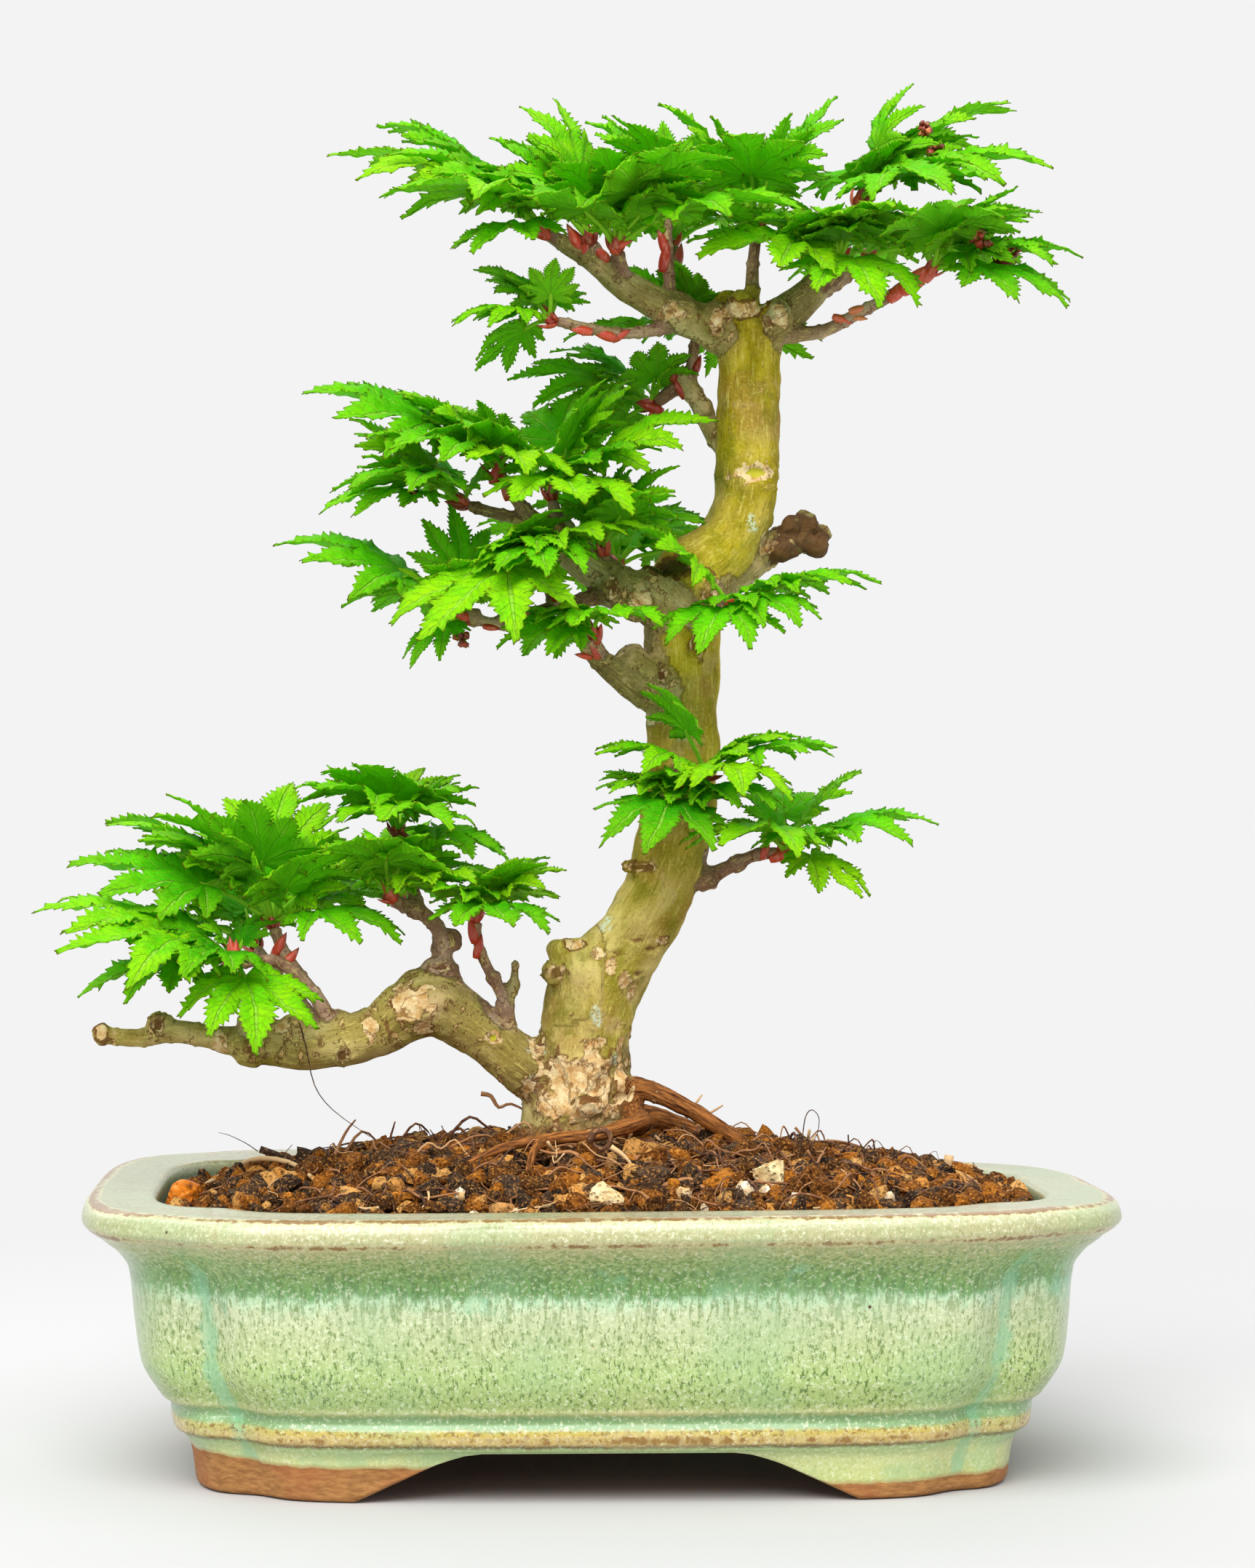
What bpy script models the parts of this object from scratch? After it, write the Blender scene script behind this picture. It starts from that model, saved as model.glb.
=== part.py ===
"""A maple bonsai in a glazed pot: the pot, its soil and stones, the trunk, and the leafy shoots.

Metres, +Z up. The pot stands on its four feet, its long side along X, its front toward -Y.
"""

from math import atan, cos, exp, hypot, pi, radians, sin
import random

import bmesh
import bpy
from mathutils import Matrix, Vector
from mathutils.bvhtree import BVHTree

MM = 0.001
GAP = 0.35  # between pieces that touch in life, mm
SEED = 7

# ---- the pot, mm --------------------------------------------------------------------------
RIM_TOP = 66.0
POT_SEGMENTS = 52
# Each level of the outside: height, half length, half depth, squareness, depth of corner groove.
POT_OUTSIDE = (
    (0.0, 95.5, 66.5, 4.4, 3.5),
    (9.5, 97.0, 68.0, 4.4, 3.5),
    (12.0, 98.6, 69.8, 4.4, 4.0),
    (13.6, 100.6, 71.5, 4.4, 4.0),
    (16.4, 101.0, 71.8, 4.4, 4.0),
    (18.6, 101.2, 70.8, 4.4, 5.0),
    (22.5, 104.6, 72.8, 4.4, 5.5),
    (29.0, 108.2, 75.0, 4.4, 5.5),
    (39.0, 109.6, 76.4, 4.4, 5.5),
    (50.0, 110.8, 77.2, 4.4, 5.0),
    (54.5, 113.7, 80.2, 4.3, 4.0),
    (58.0, 118.0, 85.2, 4.2, 3.0),
    (61.5, 121.6, 88.0, 4.1, 2.5),
    (64.6, 120.8, 87.2, 4.1, 2.5),
    (RIM_TOP, 118.2, 84.6, 4.1, 2.5),
)
POT_INSIDE = (
    (RIM_TOP, 106.0, 70.4, 4.2, 4.5),
    (64.6, 104.6, 69.0, 4.2, 4.5),
    (50.0, 103.6, 68.4, 4.2, 5.0),
    (30.0, 100.0, 66.0, 4.2, 5.0),
    (20.0, 92.0, 61.0, 4.2, 4.0),
)
FLOOR_TOP = 19.0
FLOOR_UNDER = 11.4
FOOT_WALL = 9.0
GROOVE_WIDTH = 0.17  # radians of the outline's own angle
GROOVE_WAY = (0.62, 0.78)  # how far along X and Y a corner groove is pressed in
CORNER_CROWD = 0.12  # how much closer the outline's points stand near the corners
ARCH_TOP = 11.0
# From the middle: where the arch between two feet is full, most, half and no height.
ARCH_ALONG = (29.0, 36.0, 46.0, 57.0)
ARCH_ACROSS = (10.0, 17.0, 25.0, 35.0)
DRAIN_AT = 52.0
DRAIN_RADIUS = 8.0
TWIST = 1.25  # how far firing lifted the rim's front right and back left corners
LEAN = 0.55  # how far the rim's right end hangs lower
WARP_AT = (97.0, 85.0)

# ---- the soil, mm -------------------------------------------------------------------------
SOIL_EDGE = 62.6
SOIL_RISE = 14.5
SOIL_SPAN = (104.0, 69.0)
SOIL_SEGMENTS = 40
SOIL_RINGS = 5

# ---- how the tree is placed ---------------------------------------------------------------
FRONT_TURN = radians(-2.3)  # the tree's front is turned a little to the pot's
EYE = (7.0, -1035.0, 162.0)

# ---- the wood: each path is (x, y, z, radius), drawn as seen from the front ---------------
TRUNK = (
    (-5, 0, 52, 17), (-5.5, 0, 66, 16.5), (-5.2, 0, 76, 14.5), (-4.5, -1, 88, 12.6),
    (-3.4, -2, 101, 11.2), (-0.4, -2, 113, 10.8), (7.8, -3, 124.5, 9.0), (15.0, -4, 138, 8.6),
    (17.9, -5, 148, 8.9), (19.8, -5, 158, 8.5), (20.2, -4, 170, 8.5), (20.0, -3, 185, 8.8),
    (20.3, -2, 200, 9.2), (23.0, -1, 211, 9.9), (31.5, 0, 221, 7.9), (35.0, 1, 230, 7.4),
    (35.6, 2, 240, 7.7), (36.3, 2, 250, 7.6), (36.5, 2, 262, 7.4), (36.8, 2, 275.5, 7.8),
)
BRANCHES = {
    "old_leader": ((-3.6, -2, 98, 9), (-4.2, -4, 111, 7.8), (-5.0, -5, 119, 6.2), (-5.6, -5, 123.8, 4.3)),
    "top_left": ((33, 1, 270, 6), (18.4, -2, 275.3, 4.3), (7.1, -6, 281.9, 3.7),
                 (-0.5, -9, 287.6, 3.1), (-8, -10, 292.3, 2.4)),
    "top_right": ((38, 1, 270, 6), (48.7, 0, 278.1, 4.2), (55, -1, 284.6, 3.4)),
    "back_left": ((34, 2, 240, 4.5), (28.5, 8, 245.5, 2.6), (24, 11, 254, 2.4), (20, 13, 260.5, 2.6)),
    "middle_left": ((20, -3, 201, 7), (9.8, -8, 207.6, 5.2), (-1.6, -9, 214, 4.5), (-10, -9, 221.5, 4.1)),
    "lower_left": ((18, -5, 181, 5), (9, -10, 185.5, 4.0), (2.4, -13, 190.2, 2.8), (-3.3, -15, 195, 1.8)),
    "grey_stub": ((13, -7, 185, 4.5), (6.5, -11, 193, 4.2)),
    "right_stub": ((26, 0, 210, 6), (37, 4, 215.5, 4.2), (44.5, 6, 220.5, 3.8), (50.5, 7, 221.5, 3.4)),
    "low_branch": ((-6, -1, 86, 9.0), (-14, -3, 91.5, 7.2), (-20, -4, 95.5, 6.6), (-26, -5, 100.6, 6.4),
                   (-33, -6, 105.8, 6.9), (-40, -8, 109.4, 8.1), (-46, -8, 107.4, 7.6),
                   (-53, -8, 102.8, 6.5), (-63, -9, 99.8, 5.8), (-74, -10, 98.6, 5.2),
                   (-84, -10, 99.6, 4.4), (-93, -10, 101, 2.8), (-103, -10, 102.4, 2.8),
                   (-109, -10, 101, 2.2), (-120.5, -10, 101.2, 2.0)),
    "stub_on_low_branch": ((-83, -10, 100, 3.8), (-84, -12, 106, 3.2)),
    "stub_on_low_left": ((-22.2, -8, 109, 1.5), (-20.6, -8, 113, 1.3), (-19.9, -8, 119.5, 0.8)),
    "top_front_twig": ((17.5, -2, 275, 1.7), (17, -3, 286, 1.4), (16.5, -3, 295, 1.3)),
}
ROOTS = {
    "root_right": ((0, -3, 83, 7), (9, -6, 88.6, 3.2), (15, -8, 87, 2.6), (22, -9, 83.6, 2.3),
                   (29, -9, 79.2, 2.2), (37, -8, 73.5, 2.0), (44, -6, 66, 1.7)),
    "root_right_back": ((2, 6, 80, 7), (13, 9, 81.5, 3.0), (24, 12, 77.5, 2.6), (36, 13, 71, 2.2),
                        (45, 13, 64, 1.8)),
    "root_front": ((8, -6, 80, 6), (10, -17, 81, 3.4), (0, -24, 77.5, 2.9), (-12, -27, 76.4, 2.5),
                   (-24, -30, 74, 2.0), (-32, -32, 70, 1.5)),
    "root_left": ((-8, -4, 72, 6), (-30, -10, 70, 3.6), (-50, -14, 62, 2.4)),
    "root_back": ((-6, 6, 72, 6), (-12, 26, 68, 3.6), (-16, 42, 60, 2.2)),
    "root_pale": ((-10, -22, 74.5, 2.4), (-15, -33, 74.5, 1.9), (-17, -41, 68, 1.5)),
}

# ---- the shoots: the twig's path to the shoot (x, y, z, radius), then each leaf's tip ------
SHOOTS = {
    "crown_middle": (((37.5, 4, 272, 2.6), (37, 7, 284, 1.7), (38, 8, 295, 1.4)),
                     ((15, 20, 325), (58, 12, 327), (34, -32, 318), (28, 50, 314))),
    "crown_left_1": (((-5, -9.5, 290, 2.2), (-12, -10, 294.5, 1.7)),
                     ((-65, -14, 313), (-52, 20, 319), (-47, -44, 305), (-29, -36, 290))),
    "crown_left_2": (((2, -8, 286, 2), (-1.5, -12, 292, 1.6)),
                     ((-11, 4, 327), (-34, 34, 311), (-37, -16, 301))),
    "crown_left_3": (((7, -6, 282, 2), (4.5, -14, 290, 1.6)),
                     ((-17, -52, 299), (20, -54, 316), (48, -38, 306.5))),
    "crown_left_4": (((16.6, -3, 293, 1.3), (16.5, -2, 298, 1.2)),
                     ((3, 16, 324.5), (8, -26, 321), (34, 30, 318))),
    "crown_low_left": (((17, -3, 272, 1.8), (5.2, -12, 270.6, 1.4), (-10, -20, 273.5, 1.3)),
                       ((-34.5, -36, 272.5), (-19, 4, 283), (-29, -16, 261))),
    "crown_right_1": (((53, -1, 282, 3.2), (57, -3, 287, 2.2)),
                      ((27, -34, 288), (67, -38, 277), (70, -40, 297), (50, -34, 303), (33, 18, 300))),
    "crown_right_2": (((44, 0, 270, 2.2), (54.4, -3, 271.3, 1.7), (64, -6, 276.2, 1.5),
                       (73, -8, 281, 1.4), (79, -10, 285, 1.3)),
                      ((117, -16, 288), (112, -30, 277), (103, 14, 298), (88, -50, 301))),
    "crown_right_3": (((54, 0, 283, 2.4), (58, 3, 292, 1.7), (62, 6, 301, 1.4)),
                      ((108.7, -4, 311), (98.8, 28, 323), (76, 4, 330.5), (84, -36, 315), (78, 44, 316))),
    "crown_back_left": (((19, -1, 275, 2.4), (19, 16, 283, 1.8), (18, 30, 291, 1.4)),
                        ((-14, 52, 298), (20, 70, 302), (46, 60, 305))),
    "crown_back_right": (((51, 0, 280, 2.6), (58, 16, 283, 1.8), (64, 29, 288, 1.4)),
                         ((92, 52, 293), (58, 70, 290), (100, 32, 287))),
    "under_crown": (((22, 12, 258, 1.8), (23.2, 12, 269, 1.3)),
                    ((6, 34, 284), (48.8, 36, 262.5), (-8, 10, 272))),
    "back_left": (((21, 12.5, 259, 2.0), (14, 14, 254, 1.7)),
                        ((-22, 20, 259), (-6, 42, 262), (-3, 24, 240))),
    "pad_left_1": (((-10, -9, 222.5, 2.0), (-18, -8, 228.5, 1.6), (-23, -7, 236, 1.4)),
                   ((-71, -12, 256), (-50, -38, 243), (-16, -44, 245), (-36, 26, 252))),
    "pad_left_2": (((-9, -9, 221.5, 2.2), (-11, -8, 230, 1.6)),
                   ((28.5, -16, 249.6), (-5, 20, 256), (-4, -50, 243))),
    "pad_left_3": (((-14, -8, 225, 1.8), (-24, -5, 227, 1.5), (-31, -4, 229, 1.4)),
                   ((-67.3, -16, 227.5), (-53, 22, 244), (-60, -38, 233))),
    "pad_left_4": (((3, -8, 212, 2.0), (1.5, -11, 217, 1.6)),
                   ((12, -34, 235), (-3, 20, 236), (29, 14, 233))),
    "pad_left_5": (((5, -9, 209, 2.8), (-3, -11, 206.4, 2.0), (-12, -12, 204.2, 1.7),
                    (-23, -13, 200.6, 1.5), (-30.5, -13, 202, 1.4)),
                   ((-45, -24, 190), (-77.5, -18, 220), (-9, -36, 228), (-56, 14, 204))),
    "pad_left_6": (((-10, -12, 204.5, 1.7), (-12, -16, 209, 1.4), (-13, -17, 214.5, 1.3)),
                   ((-52, -46, 210), (-14, -54, 212), (-24, -48, 228))),
    "pad_left_7": (((1, -14, 191.5, 1.7), (-1, -17, 197, 1.4)),
                   ((-20, -36, 196), (6, -52, 201), (-20, 6, 196))),
    "pad_back": (((20, 2, 203, 3.0), (12, 20, 209, 2.0), (5, 38, 214, 1.5)),
                 ((-30, 56, 222), (22, 74, 221), (-16, 66, 208), (34, 46, 216))),
    "pad_right": (((25, -6, 206, 2.6), (31, -11, 204.5, 2.0)),
                  ((68.5, -20, 210.5), (49, -40, 200), (30, -46, 197), (3, -32, 221))),
    "trunk_front_1": (((22, -10, 162, 2.2), (25, -14.5, 163.5, 1.8)),
                      ((12, -30, 186), (58.5, -28, 170.5), (38, -52, 163), (1, -36, 168.5))),
    "trunk_front_2": (((18, -10, 156, 2.2), (18.5, -15.5, 158, 1.8)),
                      ((2, -34, 160), (14, -54, 148), (44, -40, 156))),
    "low_right": (((24, -6, 138, 2.6), (32.6, -8, 142.6, 1.7), (38, -9, 144.9, 1.5), (43, -9, 145.5, 1.4)),
                  ((82, -12, 152), (63, -26, 134), (44, 16, 161), (32, -48, 147))),
    "low_left_1": (((-21.5, -5, 101, 2.2), (-22.4, -8, 109, 1.7), (-25.4, -9, 115.2, 1.4), (-28.6, -10, 122, 1.3),
                    (-29.5, -11, 128.5, 1.2)),
                   ((-7.2, -20, 141), (-21, -44, 127), (-16, 18, 134), (-40, -38, 133))),
    "low_left_2": (((-39, -8, 113, 3.2), (-37.3, -8, 123, 2.2), (-41, -8, 130, 1.8), (-49, -9, 134, 1.5)),
                   ((-24, -30, 134), (-52, -48, 139), (-40, 22, 138))),
    "low_left_3": (((-43, -8, 131, 1.8), (-46, -4, 141, 1.5), (-48, -2, 149, 1.3)),
                   ((-33, 6, 162), (-56, 28, 163), (-66, -36, 160), (-43, -42, 157), (-21, -10, 143))),
    "low_left_4": (((-64, -9, 103, 2.4), (-69, -10, 112, 1.8), (-77, -10, 119, 1.5), (-86, -13, 119, 1.4)),
                   ((-135.8, -24, 131.5), (-126.9, -48, 125), (-124.8, -22, 109.5), (-80, -44, 97))),
    "low_left_5": (((-70, -10, 113, 1.8), (-75.5, -7, 121, 1.5), (-78, -5, 127, 1.4)),
                   ((-46.5, -24, 124), (-47, 4, 133), (-76, 22, 162), (-86, -36, 158),
                    (-119, 14, 153), (-126, -10, 146))),
    "low_left_6": (((-68, -8, 104, 2.2), (-76, 6, 114, 1.7), (-82, 18, 122, 1.4)),
                   ((-66, 54, 134), (-104, 48, 139), (-114, 30, 128))),
    "low_left_back": (((-38, -8, 121, 2.2), (-39, 8, 128, 1.7), (-48, 26, 133, 1.4)),
                      ((-28, 54, 138), (-60, 66, 136), (-46, 44, 151), (-84, 50, 134))),
}
SHOOT_RADIUS = 1.5
LEAF_MOST = 33.0  # longest blade, mm
BLADE_SHARE = 0.66  # of the way from the shoot to the tip
BLADE_THICK = 0.7
PETIOLE_RADIUS = 0.6
PETIOLE_ARCH = 0.10
DROOP = 0.16
# One half of the blade's outline: degrees from the middle lobe, and distance from the base.
BLADE_HALF = ((19, 0.36), (38, 0.88), (59, 0.32), (79, 0.64), (150, 0.05))
TILTS = (0, 6, -6, 12, -12, 18, -18, 25, -25, 32, -32, 40, -40)
SWINGS = (0, 8, -8, 16, -16, 24, -24, 32, -32, 42, -42, 52, -52)
PETIOLE_FACE = 3 * (1 + 2 * len(BLADE_HALF)) - 1  # the first face of a leaf's petiole

# ---- small things on the soil: centre (x, y), half sizes, turn in degrees, colour ----------
STONES = {
    "pebble_orange": ((-99, -14), (5.6, 4.2, 4.0), 10, (0.62, 0.24, 0.04)),
    "pumice_front": ((0, -58), (4.6, 3.8, 4.2), 30, (0.80, 0.66, 0.42)),
    "pumice_right": ((38, -44), (5.2, 4.4, 6.0), -20, (0.82, 0.72, 0.50)),
    "pumice_small": ((-24, -62), (3.2, 2.8, 2.6), 15, (0.78, 0.48, 0.18)),
}
STONE_SUNK = 0.45  # share of a stone's height that is in the soil
SHAKE = 0.7  # most that one point of the soil's top is up or down
POCKET_ROOM = 0.15  # more than GAP, so that a thing's own facets clear the pocket's
HAIR_RADIUS = 0.35
TWIGS = {
    "dead_root_left": ((-81.5, 6, 74, 0.8), (-74.5, 7, 71.5, 0.9), (-68, 8, 67.5, 0.9), (-66, 8, 64, 0.8)),
    "dead_twig_right": ((84.5, 4, 72.5, 1.2), (83.8, 4, 68, 1.1), (83, 4, 61, 1.0)),
}
HAIR_LOOP = ((46.5, -19, 66), (48.9, -19, 75.6), (49.8, -19, 81.6), (51.4, -19, 83.5), (53.1, -19, 81.6),
             (52.7, -19, 77.8), (50.9, -19, 73.5), (49.2, -19, 66))
MESH_SIDE = 26.0
MESH_THICK = 1.0
MESH_HOLES = 4
MESH_BAR = 2.0


# ---- helpers ------------------------------------------------------------------------------
def clear_scene():
    for thing in list(bpy.data.objects):
        bpy.data.objects.remove(thing, do_unlink=True)


def material(name, colour, roughness):
    made = bpy.data.materials.new(name)
    made.use_nodes = True
    shader = made.node_tree.nodes["Principled BSDF"]
    shader.inputs["Base Color"].default_value = (*colour, 1.0)
    shader.inputs["Roughness"].default_value = roughness
    return made


def object_of(name, points, faces, finish=None):
    """An object from points in mm and faces."""
    mesh = bpy.data.meshes.new(name)
    mesh.from_pydata([Vector(p) * MM for p in points], [], faces)
    mesh.validate()
    made = bpy.data.objects.new(name, mesh)
    bpy.context.scene.collection.objects.link(made)
    if finish:
        mesh.materials.append(finish)
    return made


def outward(made):
    """Turns every face outwards."""
    work = bmesh.new()
    work.from_mesh(made.data)
    bmesh.ops.recalc_face_normals(work, faces=work.faces)
    work.to_mesh(made.data)
    work.free()
    return made


def boolean(made, other, operation):
    """The first object joined with or cut by the second, which is then removed."""
    step = made.modifiers.new("step", "BOOLEAN")
    step.operation = operation
    step.object = other
    step.solver = "EXACT"
    bpy.context.view_layer.update()
    graph = bpy.context.evaluated_depsgraph_get()
    result = bpy.data.meshes.new_from_object(made.evaluated_get(graph))
    old = made.data
    made.modifiers.remove(step)
    made.data = result
    result.name = made.name
    bpy.data.meshes.remove(old)
    bpy.data.objects.remove(other, do_unlink=True)
    return made


def united(name, pieces, finish):
    whole = pieces[0]
    whole.name = name
    for piece in pieces[1:]:
        boolean(whole, piece, "UNION")
    whole.data.materials.clear()
    whole.data.materials.append(finish)
    return whole


def seen(x, y, z):
    """The place, at depth y, that looks to be at (x, z) on the middle plane from EYE, turned with the tree."""
    nearer = 1 - y / EYE[1]
    place = Vector((EYE[0] + (x - EYE[0]) * nearer, y, EYE[2] + (z - EYE[2]) * nearer))
    return Matrix.Rotation(FRONT_TURN, 3, "Z") @ place


def smooth_path(path, steps):
    """Points on a curve through a path of (x, y, z, radius), with the radius as a fourth number."""
    knots = [Vector((*seen(*p[:3]), p[3])) for p in path]
    ends = [2 * knots[0] - knots[1], *knots, 2 * knots[-1] - knots[-2]]
    points = []
    for i in range(1, len(ends) - 2):
        before, start, end, after = ends[i - 1:i + 3]
        for step in range(steps):
            t = step / steps
            points.append(0.5 * (2 * start + (end - before) * t
                                 + (2 * before - 5 * start + 4 * end - after) * t * t
                                 + (3 * start - before - 3 * end + after) * t * t * t))
    points.append(knots[-1])
    return points


def tube(name, points, sides, grow=0.0):
    """A closed tube along points of (x, y, z, radius), as thick as each radius plus grow."""
    places = [Vector(p[:3]) for p in points]
    across = None
    rings = []
    for i, place in enumerate(places):
        along = (places[min(i + 1, len(places) - 1)] - places[max(i - 1, 0)]).normalized()
        if across is None:
            across = along.orthogonal().normalized()
        across = (across - along * across.dot(along)).normalized()
        third = along.cross(across)
        radius = points[i][3] + grow
        rings.append([place + radius * (cos(2 * pi * k / sides) * across + sin(2 * pi * k / sides) * third)
                      for k in range(sides)])
    return outward(object_of(name, *lofted(rings)))


def lofted(rings):
    """Points and faces of a closed skin over rings of equal length, capped at both ends."""
    count = len(rings[0])
    points = [p for ring in rings for p in ring]
    faces = []
    for r in range(len(rings) - 1):
        for k in range(count):
            a, b = r * count + k, r * count + (k + 1) % count
            faces.append((a, b, b + count, a + count))
    faces.append(tuple(reversed(range(count))))
    faces.append(tuple(range(len(points) - count, len(points))))
    return points, faces


def box(name, low, high):
    points = [(x, y, z) for x in (low[0], high[0]) for y in (low[1], high[1]) for z in (low[2], high[2])]
    faces = [(0, 1, 3, 2), (4, 6, 7, 5), (0, 4, 5, 1), (2, 3, 7, 6), (0, 2, 6, 4), (1, 5, 7, 3)]
    return outward(object_of(name, points, faces))


def prism(name, outline, axis, low, high):
    """An outline of (across, z) points drawn out along axis 'X' or 'Y'."""
    def point(across, z, along):
        return (along, across, z) if axis == "X" else (across, along, z)
    rings = [[point(*p, along) for p in outline] for along in (low, high)]
    return outward(object_of(name, *lofted(rings)))


def rod(name, x, y, low, high, radius, sides=20):
    return tube(name, [(x, y, low, radius), (x, y, high, radius)], sides)


# ---- the pot ------------------------------------------------------------------------------
def pot_point(angle, half_length, half_depth, square, groove):
    """A point of the pot's outline: a squared oval with a soft groove at each corner."""
    c, s = cos(angle), sin(angle)
    x = half_length * abs(c) ** (2 / square) * (1 if c >= 0 else -1)
    y = half_depth * abs(s) ** (2 / square) * (1 if s >= 0 else -1)
    off = abs(angle % (pi / 2) - pi / 4)
    pull = groove * exp(-(off / GROOVE_WIDTH) ** 2)
    return x - pull * GROOVE_WAY[0] * (1 if x > 0 else -1), y - pull * GROOVE_WAY[1] * (1 if y > 0 else -1)


def pot_angles(count):
    """Angles that are closer together near the corners, where the outline turns."""
    even = [2 * pi * k / count for k in range(count)]
    return [angle + CORNER_CROWD * sin(4 * angle) for angle in even]


def warp(x, y, z):
    """How far firing moved the clay up, which grows with height."""
    share = max(0.0, (z - 15.0) / (RIM_TOP - 15.0))
    return share * (-TWIST * x * y / (WARP_AT[0] * WARP_AT[1]) - LEAN * x / WARP_AT[0])


def pot_ring(level, shrink=0.0, z=None):
    height, half_length, half_depth, square, groove = level
    height = height if z is None else z
    ring = []
    for angle in pot_angles(POT_SEGMENTS):
        x, y = pot_point(angle, half_length - shrink, half_depth - shrink, square, groove)
        ring.append(Vector((x, y, height + warp(x, y, height))))
    return ring


def arch(axis, reaches, length):
    """A cutter for the low arch between two feet."""
    heights = (ARCH_TOP, 0.86 * ARCH_TOP, 0.47 * ARCH_TOP, 0.0, -5.0)
    right = list(zip((*reaches, reaches[-1]), heights))
    outline = [(-across, z) for across, z in reversed(right)] + right
    return prism("arch", outline, axis, -length, length)


def build_pot():
    under = POT_OUTSIDE[0]
    rings = [pot_ring(under, FOOT_WALL, FLOOR_UNDER), pot_ring(under, FOOT_WALL, 0.0)]
    rings += [pot_ring(level) for level in POT_OUTSIDE]
    rings += [pot_ring(level) for level in POT_INSIDE]
    rings.append(pot_ring(POT_INSIDE[-1], 3.0, FLOOR_TOP))
    pot = outward(object_of("pot", *lofted(rings)))
    boolean(pot, arch("Y", ARCH_ALONG, 100), "DIFFERENCE")
    boolean(pot, arch("X", ARCH_ACROSS, 130), "DIFFERENCE")
    for side in (-1, 1):
        boolean(pot, rod("drain", side * DRAIN_AT, 0, 5, 25, DRAIN_RADIUS), "DIFFERENCE")
    pot.data.materials.clear()
    pot.data.materials.append(material("celadon_glaze", (0.42, 0.58, 0.36), 0.25))
    return pot


def build_mesh(name, x):
    """A square of plastic netting that lies over a drainage hole."""
    low = FLOOR_TOP + GAP
    half = MESH_SIDE / 2
    net = box(name, (x - half, -half, low), (x + half, half, low + MESH_THICK))
    pitch = (MESH_SIDE - MESH_BAR) / MESH_HOLES
    for i in range(MESH_HOLES):
        for j in range(MESH_HOLES):
            left = x - half + MESH_BAR + i * pitch
            near = -half + MESH_BAR + j * pitch
            hole = box("hole", (left, near, low - 1), (left + pitch - MESH_BAR, near + pitch - MESH_BAR, low + 3))
            boolean(net, hole, "DIFFERENCE")
    net.data.materials.clear()
    net.data.materials.append(material("netting_plastic", (0.03, 0.03, 0.03), 0.6))
    return net


# ---- the soil -----------------------------------------------------------------------------
def soil_height(x, y):
    u, v = x / SOIL_SPAN[0], y / SOIL_SPAN[1]
    return SOIL_EDGE + SOIL_RISE * max(0.0, 1 - u * u) * max(0.0, 1 - v * v)


def soil_ring(level, z):
    """The soil's outline at height z, just inside the pot's wall."""
    _, half_length, half_depth, square, groove = level
    ring = []
    for angle in pot_angles(SOIL_SEGMENTS):
        x, y = pot_point(angle, half_length - 2 * GAP, half_depth - 2 * GAP, square, groove)
        ring.append(Vector((x, y, z)))
    return ring


def build_soil():
    draw = random.Random(SEED)
    lip, upper, lower, floor = POT_INSIDE[1:]
    edge = soil_ring(lip, SOIL_EDGE)
    rings = [soil_ring(floor, FLOOR_TOP + MESH_THICK + 2 * GAP), soil_ring(lower, lower[0]),
             soil_ring(upper, upper[0]), edge]
    for step in range(1, SOIL_RINGS):
        share = 1 - step / SOIL_RINGS
        ring = []
        for p in edge:
            x, y = p.x * share, p.y * share
            ring.append(Vector((x, y, soil_height(x, y) + draw.uniform(-SHAKE, SHAKE))))
        rings.append(ring)
    points, faces = lofted(rings)
    faces.pop()
    points.append(Vector((0, 0, soil_height(0, 0))))
    start = len(points) - 1 - SOIL_SEGMENTS
    faces += [(start + k, start + (k + 1) % SOIL_SEGMENTS, len(points) - 1) for k in range(SOIL_SEGMENTS)]
    soil = outward(object_of("soil", points, faces))
    soil.data.materials.append(material("soil_grains", (0.16, 0.075, 0.03), 0.95))
    return soil


def stone(name, at, half, turn, grow=0.0):
    draw = random.Random(name)
    x, y = at
    z = soil_height(x, y) + half[2] * (1 - 2 * STONE_SUNK)
    work = bmesh.new()
    bmesh.ops.create_icosphere(work, subdivisions=1, radius=1.0)
    work.verts.ensure_lookup_table()
    points = []
    for v in work.verts:
        bump = draw.uniform(0.88, 1.08)
        p = Vector((v.co.x * (half[0] * bump + grow), v.co.y * (half[1] * bump + grow),
                    v.co.z * (half[2] * bump + grow)))
        points.append(Matrix.Rotation(radians(turn), 3, "Z") @ p + Vector((x, y, z)))
    faces = [tuple(v.index for v in f.verts) for f in work.faces]
    work.free()
    return outward(object_of(name, points, faces))


def loop_of_hair(name, grow=0.0):
    return tube(name, smooth_path([(*p, HAIR_RADIUS) for p in HAIR_LOOP], 2), 6, grow)


def loose_twig(name, path, grow=0.0):
    return tube(name, smooth_path(path, 2), 7, grow)


# ---- the wood -----------------------------------------------------------------------------
def sides_for(path):
    thickest = max(p[3] for p in path[1:])
    return 14 if thickest > 9 else 10 if thickest > 3.5 else 8 if thickest > 2 else 6


def wood_paths():
    paths = {"trunk": TRUNK, **BRANCHES, **ROOTS}
    for name, (twig, _) in SHOOTS.items():
        paths["twig_" + name] = twig
    return paths


def steps_for(path):
    return 2 if len(path) > 3 and max(p[3] for p in path[1:]) > 3.4 else 1


def build_wood():
    pieces = [tube(name, smooth_path(path, steps_for(path)), sides_for(path))
              for name, path in wood_paths().items()]
    return united("tree_wood", pieces, material("maple_bark", (0.26, 0.23, 0.11), 0.75))


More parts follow.
